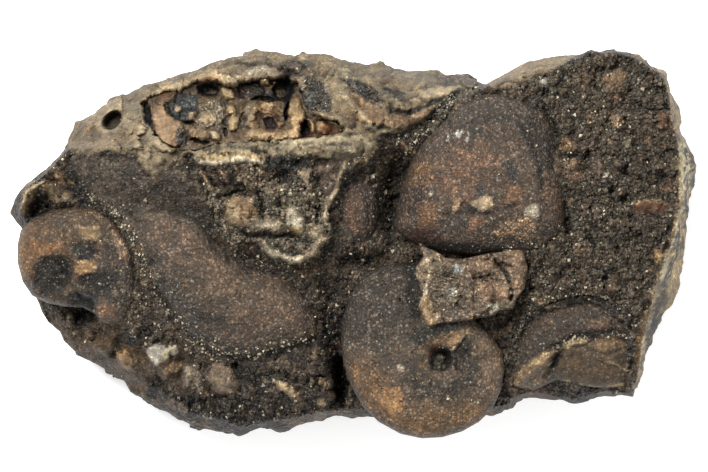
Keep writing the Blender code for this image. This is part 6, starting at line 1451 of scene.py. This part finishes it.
def front_colour(x, y, z, colour, sand):
    """The front's painted colour with grains, clumps, bedded stones, painted shade in dips and wear on
    crests, and its grit.
    """
    grains, number = stones(x, y, GRAIN, GRAIN_SEED)
    grain_tint = 1.0 + sand * (1.1 * (number - 0.5) + 0.45 * (grains - 0.6))
    clump = np.clip(noise("sand_clumps", x, y), -1.0, 1.0)
    colour *= 1.0 + (sand * clump)[:, None] * CLUMP_TINT
    bedded, kind = clasts(x, y)
    bedded = 0.8 * bedded * sand
    # The darkest kind lies in pits where such stones fell out: its near-black there is painted shade.
    colour += (np.array([linear(tint) for tint in CLAST_TINTS])[kind] - colour) * bedded[:, None]
    path, spacing, _ = BROKEN_STONE[0]
    olive = smooth_step(-0.5, 0.5, depth_inside(path, x, y))
    facets = 1.0 + 0.10 * olive * broken(x, y, spacing, BROKEN_SEED)
    colour *= (np.clip(grain_tint, 0.3, 2.0) * facets)[:, None]
    columns, rows = ROCK_GRID
    # Painted shade in the dips of the front and lighter wear on its crests.
    colour *= dip_shade_and_crest_wear((z - face_height(x, y)).reshape(rows + 1, columns + 1)) ** (0.6 + 0.4 * sand)[:, None]
    return colour, sand * (1.0 - 0.5 * bedded)


def new_rock(material):
    """The block: its front, side rings under it and a flat base."""
    x, y, faces, rim = stretched_grid(PLATE_OUTLINE, (0.0, 0.0), ROCK_GRID, ROCK_BEND)
    z = rock_height(x, y)
    steep = 1.0 - levelness(x, y, face_height(x, y))
    worn = WEAR_AMOUNT * smooth_step(STEEP, WEAR_FULL, steep) * skewed("worn", x, y, z)
    worn = 1.0 + worn / np.maximum(np.hypot(x, y), 1.0)
    points, count, first = np.c_[x * worn, y * worn, z], len(rim), len(x)
    points = np.concatenate([points, *side_rings(points, rim), [[0.0, 0.0, 0.0]]])
    rings = [rim] + [first + ring * count + np.arange(count) for ring in range(SIDE_RINGS)]
    for above, below in zip(rings[:-1], rings[1:]):
        faces += between(above, below)
    faces += closed_by(rings[-1], len(points) - 1)

    all_x, all_y, all_z = points.T
    steep = np.append(steep, np.ones(len(points) - first))
    shift_x, shift_y = (EDGE_SHIFT * steep ** 2 * skewed(name, all_x, all_y, all_z)
                        for name in ("shift_x", "shift_y"))
    colour, grit = painted(all_x + shift_x, all_y + shift_y, ROCK_BASE, ROCK_AREAS, ROCK_STREAKS)
    colour[:first], grit[:first] = front_colour(x, y, z, colour[:first], grit[:first])

    down = np.append(np.repeat(np.arange(SIDE_RINGS + 1) / SIDE_RINGS, [first] + [count] * SIDE_RINGS),
                     1.0)
    lower = smooth_step(0.0, 0.6, down) * (down > 0.0)
    lower = smooth_step(0.2, 0.8, lower + 0.3 * skewed("side_border", all_x, all_y, all_z))
    lower *= down > 0.0
    side = np.tile(linear(SIDE_TINT), (len(points), 1))
    layers = smooth_step(-0.2, 0.5, skewed("layers", all_x, all_y, all_z))
    side += (linear(LAYER_TINT) - side) * (0.55 * layers)[:, None]
    colour += (side - colour) * lower[:, None]
    grit += (SIDE_GRIT - grit) * lower
    amount, seed = ROCK_MOTTLE
    colour = mottled(all_x + 0.8 * all_z, all_y - 0.6 * all_z, colour,
                     amount + SIDE_MOTTLE * (down > 0.0), seed)
    new_piece("matrix_rock", points, faces, colour, grit, material, "matrix")


def new_shell(name, material):
    """A fossil: a closed disc of rings round its centre, the last of them under its rim."""
    shape, look = FOSSILS[name], SHELLS[name]
    count, rings, under = shape["mesh"]
    depth = shape["keel"] - SHELL_GAP
    turn = 2.0 * math.pi * np.arange(count) / count
    cx, cy = shape["centre"]
    edge = reach(shape["outline"], shape["centre"], turn)
    points = []
    for share in np.sin(0.5 * math.pi * (np.arange(1, rings + 1) / rings)):
        x, y = cx + share * edge * np.cos(turn), cy + share * edge * np.sin(turn)
        points.append(np.c_[x, y, shell_height(name, x, y)])
    rim = points[-1][:, 2]
    for level in range(1, under + 1):
        share = math.cos(0.5 * math.pi * level / (under + 1))
        x, y = cx + share * edge * np.cos(turn), cy + share * edge * np.sin(turn)
        points.append(np.c_[x, y, rim - depth * (1.0 - share ** 2) ** 0.5])
    top = shell_height(name, np.array([cx], float), np.array([cy], float))
    points = np.concatenate(points + [[[cx, cy, top[0]], [cx, cy, rim.mean() - depth]]])
    circles = np.arange((rings + under) * count).reshape(-1, count)
    faces = []
    for above, below in zip(circles[:-1], circles[1:]):
        faces += between(above, below)
    faces += np.stack([np.full(count, len(points) - 2), circles[0], np.roll(circles[0], -1)],
                      axis=1).tolist()
    faces += closed_by(circles[-1], len(points) - 1)

    x, y = points[:, 0], points[:, 1]
    colour, grit = painted(x, y, look["base"], look["areas"], look["streaks"])
    (gx, gy), lines, lean, _ = look["growth"]
    bands = np.sin(BAND_SHARE * lines * (np.arctan2(y - gy, x - gx) + lean * np.hypot(x - gx, y - gy)))
    colour = colour * (1.0 + BAND_AMOUNT * bands)[:, None]
    # Painted shade: each shell is darker towards its rim, where it meets the rock.
    colour = colour * (1.0 - RIM_SHADE * smooth_step(RIM_START, 1.0, from_centre(shape, x, y)))[:, None]
    new_piece(name + "_shell", points, faces, mottled(x, y, colour, *SHELL_MOTTLE), grit, material, name)


def new_crust(material):
    """The crust on the hollow's floor: a closed slab with a rough top."""
    outline = [tuple(middle + CRUST_SIZE * (value - middle) for value, middle in zip(point, HOLLOW_CENTRE))
               for point in HOLLOW_OUTLINE]
    x, y, faces, rim = stretched_grid(outline, HOLLOW_CENTRE, CRUST_GRID, CRUST_BEND)
    z = crust_height(x, y)
    first = len(z)
    points = np.concatenate([np.c_[x, y, z], np.c_[x[rim], y[rim], z[rim] - CRUST_UNDER],
                             [[*HOLLOW_CENTRE, z.min() - CRUST_UNDER]]])
    under = first + np.arange(len(rim))
    faces += between(rim, under) + closed_by(under, len(points) - 1)
    x, y = points[:, 0], points[:, 1]
    colour, grit = painted(x, y, CRUST_BASE, CRUST_AREAS, CRUST_STREAKS)
    # Painted shade: the crust is darker the lower it lies over its bed, and darker still in its dips.
    low = points[:, 2] - crust_bed(x, y)
    colour = colour * (CRUST_DARKEST + (1.0 - CRUST_DARKEST) * smooth_step(*CRUST_SHADE, low))[:, None]
    columns, rows = CRUST_GRID
    colour[:first] *= dip_shade_and_crest_wear(low[:first].reshape(rows + 1, columns + 1)) ** 0.9
    new_piece("hollow_crust_crystals", points, faces, mottled(x, y, colour, *CRUST_MOTTLE), grit,
              material, "hollow_crust")


def turned(first, second, angles):
    """Two coordinates of each grain's corners, turned by the grain's angle."""
    cosine, sine = np.cos(angles)[:, None], np.sin(angles)[:, None]
    return first * cosine - second * sine, first * sine + second * cosine


def new_grit(name, surface, amount, tries, size, pale, seed, material):
    """Small sharp grains scattered where the surface is sandy, as one mesh.

    pale is the share of the palest ones, and tries is how many places are drawn for each grain."""
    rng = np.random.default_rng(seed)
    x, y = (rng.uniform(-half, half, tries * amount) for half in GRAIN_FIELD)
    z, colour, grit = surface(x, y)
    keep = np.flatnonzero(rng.random(len(x)) < grit ** 2)[:amount]
    x, y, z, colour = x[keep], y[keep], z[keep], colour[keep]
    count = len(x)
    shape = GRAIN_CORNERS[None] * (1.0 + LONGER * rng.uniform(-1, 1, (count, 6, 1)))
    shape += MOVED * rng.uniform(-1, 1, (count, 6, 3))
    turn = rng.uniform(0, 2 * math.pi, count)
    tilt = rng.uniform(0, math.pi, count)
    wide = size * rng.lognormal(0.0, SIZE_SPREAD, count)
    sx, sy, sz = shape[..., 0], shape[..., 1], shape[..., 2]
    sy, sz = turned(sy, sz, tilt)
    sx, sy = turned(sx, sy, turn)
    x, y, z, wide = (value[:, None] for value in (x, y, z, wide))
    points = np.stack([x + wide * sx, y + wide * sy, z + GRAIN_RISE * wide + wide * sz], axis=-1)
    faces = (GRAIN_SIDES[None] + 6 * np.arange(count)[:, None, None]).reshape(-1, 3).tolist()
    kind = rng.random((count, 1))
    strength = rng.uniform(*STRENGTHS, (count, 1))
    tint = colour * rng.uniform(*TINTS, (count, 1))
    tint = np.where(kind < pale, linear(PALE_TINT) * strength, tint)
    clast = np.array([linear(stone) for stone in CLAST_TINTS])[rng.integers(len(CLAST_TINTS), size=count)]
    tint = np.where(kind > CLAST_FROM, clast * CLAST_LIGHT * strength, tint)
    new_piece(name, points.reshape(-1, 3), faces, np.repeat(tint, 6, axis=0), np.zeros(6 * count),
              material, smooth=False)


def on_plate(x, y):
    """Where a point is on the plate, well inside its outline."""
    return np.hypot(x, y) < reach(PLATE_OUTLINE, (0.0, 0.0), np.arctan2(y, x)) - ON_PLATE


def rock_surface(x, y):
    """Height, colour and grit of the bare rock, with no grit elsewhere."""
    colour, grit = painted(x, y, ROCK_BASE, ROCK_AREAS)
    inside = on_plate(x, y) & (levelness(x, y, face_height(x, y)) > 1.0 - STEEP)
    for shape in FOSSILS.values():
        inside &= depth_inside(shape["outline"], x, y) < 0.2
    inside &= depth_inside(HOLLOW_OUTLINE, x, y) < -0.3
    return rock_height(x, y), colour, np.where(inside, grit, 0.0)


def shells_surface(x, y):
    """Height, colour and grit of the shells, and zeros elsewhere."""
    z, colour, grit = np.zeros(len(x)), np.zeros((len(x), 3)), np.zeros(len(x))
    for name, shape in FOSSILS.items():
        look = SHELLS[name]
        inside = depth_inside(shape["outline"], x, y) > 0.4
        tint, sand = painted(x[inside], y[inside], look["base"], look["areas"])
        z[inside] = shell_height(name, x[inside], y[inside])
        colour[inside], grit[inside] = tint, 0.25 + 0.75 * sand
    return z, colour, grit


def pale_surface(x, y):
    """Height and colour along the shells, with grit where pale grains are cemented in lines."""
    z, colour, _ = rock_surface(x, y)
    on_shell, _, _ = shells_surface(x, y)
    near = np.zeros(len(x))
    for width, path in PALE_LINES:
        near = np.maximum(near, np.exp(-(distance_to(path, x, y) / width) ** 2))
    return np.maximum(z, on_shell), colour, near * on_plate(x, y)


# ---------------------------------------------------------------- materials

# Roughness, share of pale specks and of painted glints, share of dirt, how much of the grain, the specks and
# the glints the smoothest stone has, and strength of the bump.
STONES = {
    "rock_stone": (0.70, 1.0, 0.5, 0.15, 1.0),
    "shell_stone": (0.68, 0.7, 0.60, 0.30, 0.7),
    "crust_stone": (0.60, 0.4, 0.35, 0.1, 0.6),
    "grain_stone": (0.55, 0.0, 0.1, 0.2, 0.3),
}
# Scales per metre of the noises and cells, colours of the dirt and pale specks on the stone and of the
# painted glints, and gloss and bump.
BROAD, FINE, GRAINS, SMALL_GRAINS, PATCHES = 800.0, 4200.0, 2100.0, 3900.0, 330.0
DIRT_COLOUR = (0.017, 0.0155, 0.0115, 1.0)
SPECK_COLOUR = (0.20, 0.185, 0.155, 1.0)
PAINTED_GLINT_COLOUR = (0.36, 0.34, 0.29, 1.0)
SPECULAR = 0.28
GRAIN_BEND = 0.0003                             # metres
BUMP_DEPTH = 0.0006                             # metres


def new_stone(name):
    """Stone in the colours painted on the mesh, with grains that differ, pale specks, painted glints, dirt
    and bump.
    """
    roughness, specks, dirt, least, bump = STONES[name]
    material = bpy.data.materials.new(name)
    material.use_nodes = True
    nodes, links = material.node_tree.nodes, material.node_tree.links
    shader = nodes["Principled BSDF"]
    shader.inputs["Specular IOR Level"].default_value = SPECULAR

    def fill(node, inputs):
        for socket, value in inputs.items():
            if isinstance(value, bpy.types.NodeSocket):
                links.new(value, node.inputs[socket])
            else:
                node.inputs[socket].default_value = value

    def add(kind, inputs=(), **settings):
        node = nodes.new("ShaderNode" + kind)
        for key, value in settings.items():
            setattr(node, key, value)
        fill(node, dict(inputs))
        return node

    def calc(operation, first, second=0.0):
        return add("Math", {0: first, 1: second}, operation=operation).outputs[0]

    def spread(value, low, high, to_low, to_high):
        return add("MapRange", {"Value": value, "From Min": low, "From Max": high,
                                "To Min": to_low, "To Max": to_high}).outputs["Result"]

    def blend(share, first, second, kind="MIX"):
        return add("Mix", {0: share, 6: first, 7: second}, data_type="RGBA", blend_type=kind).outputs[2]

    def product(*values):
        total = values[0]
        for value in values[1:]:
            total = calc("MULTIPLY", total, value)
        return total

    place = add("TexCoord").outputs["Object"]
    tint = add("Attribute", attribute_name="tint").outputs["Color"]
    grit = add("Attribute", attribute_name="grit").outputs["Fac"]
    broad = add("TexNoise", {"Vector": place, "Scale": BROAD, "Detail": 5.0, "Roughness": 0.7}).outputs["Fac"]
    fine = add("TexNoise", {"Vector": place, "Scale": FINE, "Detail": 2.0, "Roughness": 0.7}).outputs
    bent = add("VectorMath", {0: fine["Color"], 1: (GRAIN_BEND,) * 3, 2: place},
               operation="MULTIPLY_ADD").outputs[0]
    fine = fine["Fac"]
    patches = add("TexNoise", {"Vector": bent, "Scale": PATCHES, "Detail": 9.0,
                               "Roughness": 0.66}).outputs["Fac"]
    grain = add("TexVoronoi", {"Vector": bent, "Scale": GRAINS}).outputs
    small = add("TexVoronoi", {"Vector": bent, "Scale": SMALL_GRAINS}).outputs
    number = add("SeparateColor", {0: grain["Color"]}).outputs
    other = add("SeparateColor", {0: small["Color"]}).outputs
    sandy = spread(grit, 0.0, 1.0, least, 1.0)
    bright = spread(calc("POWER", number[0], 2.6), 0.0, 1.0, 0.42, 2.7)
    gaps = spread(grain["Distance"], 0.30, 0.62, 1.10, 0.32)
    speckle = product(bright, gaps, spread(other[0], 0.0, 1.0, 0.62, 1.50))
    colour = blend(sandy, tint, blend(1.0, tint, speckle, "MULTIPLY"))
    colour = blend(1.0, colour, spread(broad, 0.33, 0.67, 0.62, 1.40), "MULTIPLY")
    colour = blend(1.0, colour, spread(fine, 0.36, 0.64, 0.78, 1.24), "MULTIPLY")
    dirty = product(spread(patches, 0.49, 0.62, 0.0, dirt), spread(grit, 0.1, 0.5, 0.35, 1.0))
    colour = blend(dirty, colour, DIRT_COLOUR)
    pale = calc("GREATER_THAN", number[1], 1.0 - 0.10 * specks)
    colour = blend(product(pale, sandy, gaps, 0.45), colour, SPECK_COLOUR)
    # Painted glints: tiny bright dots that stand for sparkling highlights.
    painted_glint = calc("GREATER_THAN", other[1], 1.0 - 0.035 * specks)
    shown = spread(patches, 0.40, 0.60, 0.1, 0.8)
    colour = blend(product(painted_glint, sandy, other[2], shown), colour, PAINTED_GLINT_COLOUR)
    grains = product(calc("SUBTRACT", 0.62, grain["Distance"]), sandy,
                     spread(number[0], 0.0, 1.0, 0.5, 1.5))
    height = calc("ADD", calc("ADD", grains, calc("MULTIPLY", broad, 0.9)), calc("MULTIPLY", fine, 0.25))
    relief_node = add("Bump", {"Height": height, "Strength": bump, "Distance": BUMP_DEPTH})
    fill(shader, {"Base Color": colour, "Normal": relief_node.outputs["Normal"],
                  "Roughness": spread(fine, 0.3, 0.7, roughness - 0.16, roughness + 0.10)})
    return material


# ---------------------------------------------------------------- the scene

new_rock(new_stone("rock_stone"))
shell_stone = new_stone("shell_stone")
for fossil in FOSSILS:
    new_shell(fossil, shell_stone)
new_crust(new_stone("crust_stone"))
grain_stone = new_stone("grain_stone")
# Name, surface, grains, places tried for each, radius and share of the palest.
for number, grit_kind in enumerate([("rock_grit", rock_surface, 22000, 4, 0.20, 0.035),
                                    ("shell_grit", shells_surface, 9000, 9, 0.11, 0.03),
                                    ("pale_grit", pale_surface, 7600, 8, 0.155, 0.55)]):
    new_grit(*grit_kind, SEED + number, grain_stone)

FLOOR_HALF = 2.0
FLOOR_PAINT = {"Base Color": (0.9, 0.9, 0.9, 1), "Roughness": 0.9,
               "Emission Color": (1, 1, 1, 1), "Emission Strength": 0.25}
floor_mesh = bpy.data.meshes.new("floor")
floor_mesh.from_pydata([(FLOOR_HALF * sx, FLOOR_HALF * sy, 0.0)
                        for sx, sy in ((-1, -1), (1, -1), (1, 1), (-1, 1))], [], [(0, 1, 2, 3)])
floor = link(bpy.data.objects.new("floor", floor_mesh))
floor_paint = bpy.data.materials.new("floor_paint")
floor_paint.use_nodes = True
for socket, value in FLOOR_PAINT.items():
    floor_paint.node_tree.nodes["Principled BSDF"].inputs[socket].default_value = value
floor_mesh.materials.append(floor_paint)

# Soft round lights: name, place and diameter in metres, and power in watts.
LIGHTS = [("key", (-0.22, 0.30, 0.60), 0.34, 11.0), ("fill", (0.45, -0.25, 0.60), 0.50, 3.0)]
LIGHT_AIM = (0.0, 0.0, 0.02)
for name, place, size, power in LIGHTS:
    lamp = bpy.data.lights.new(name, "AREA")
    lamp.shape, lamp.size, lamp.energy = "DISK", size, power
    holder = link(bpy.data.objects.new(name, lamp))
    holder.location = place
    holder.rotation_euler = (Vector(LIGHT_AIM) - Vector(place)).to_track_quat("-Z", "Y").to_euler()

WORLD_LIGHT = 0.75
world = bpy.data.worlds.new("studio")
bpy.context.scene.world = world
world.use_nodes = True
world.node_tree.nodes["Background"].inputs["Color"].default_value = (1.0, 1.0, 1.0, 1.0)
world.node_tree.nodes["Background"].inputs["Strength"].default_value = WORLD_LIGHT

# The camera looks straight down on the fossil face: what it looks at, and from how far.
CAMERA_AIM, CAMERA_DISTANCE = (0.00009, 0.0012, 0.028), 1.377
camera_data = bpy.data.cameras.new("camera")
camera_data.lens, camera_data.sensor_width, camera_data.clip_end = 400.0, 36.0, 10.0
camera = link(bpy.data.objects.new("camera", camera_data))
camera.location = (*CAMERA_AIM[:2], CAMERA_AIM[2] + CAMERA_DISTANCE)
bpy.context.scene.camera = camera
bpy.context.scene.view_settings.view_transform = "Standard"
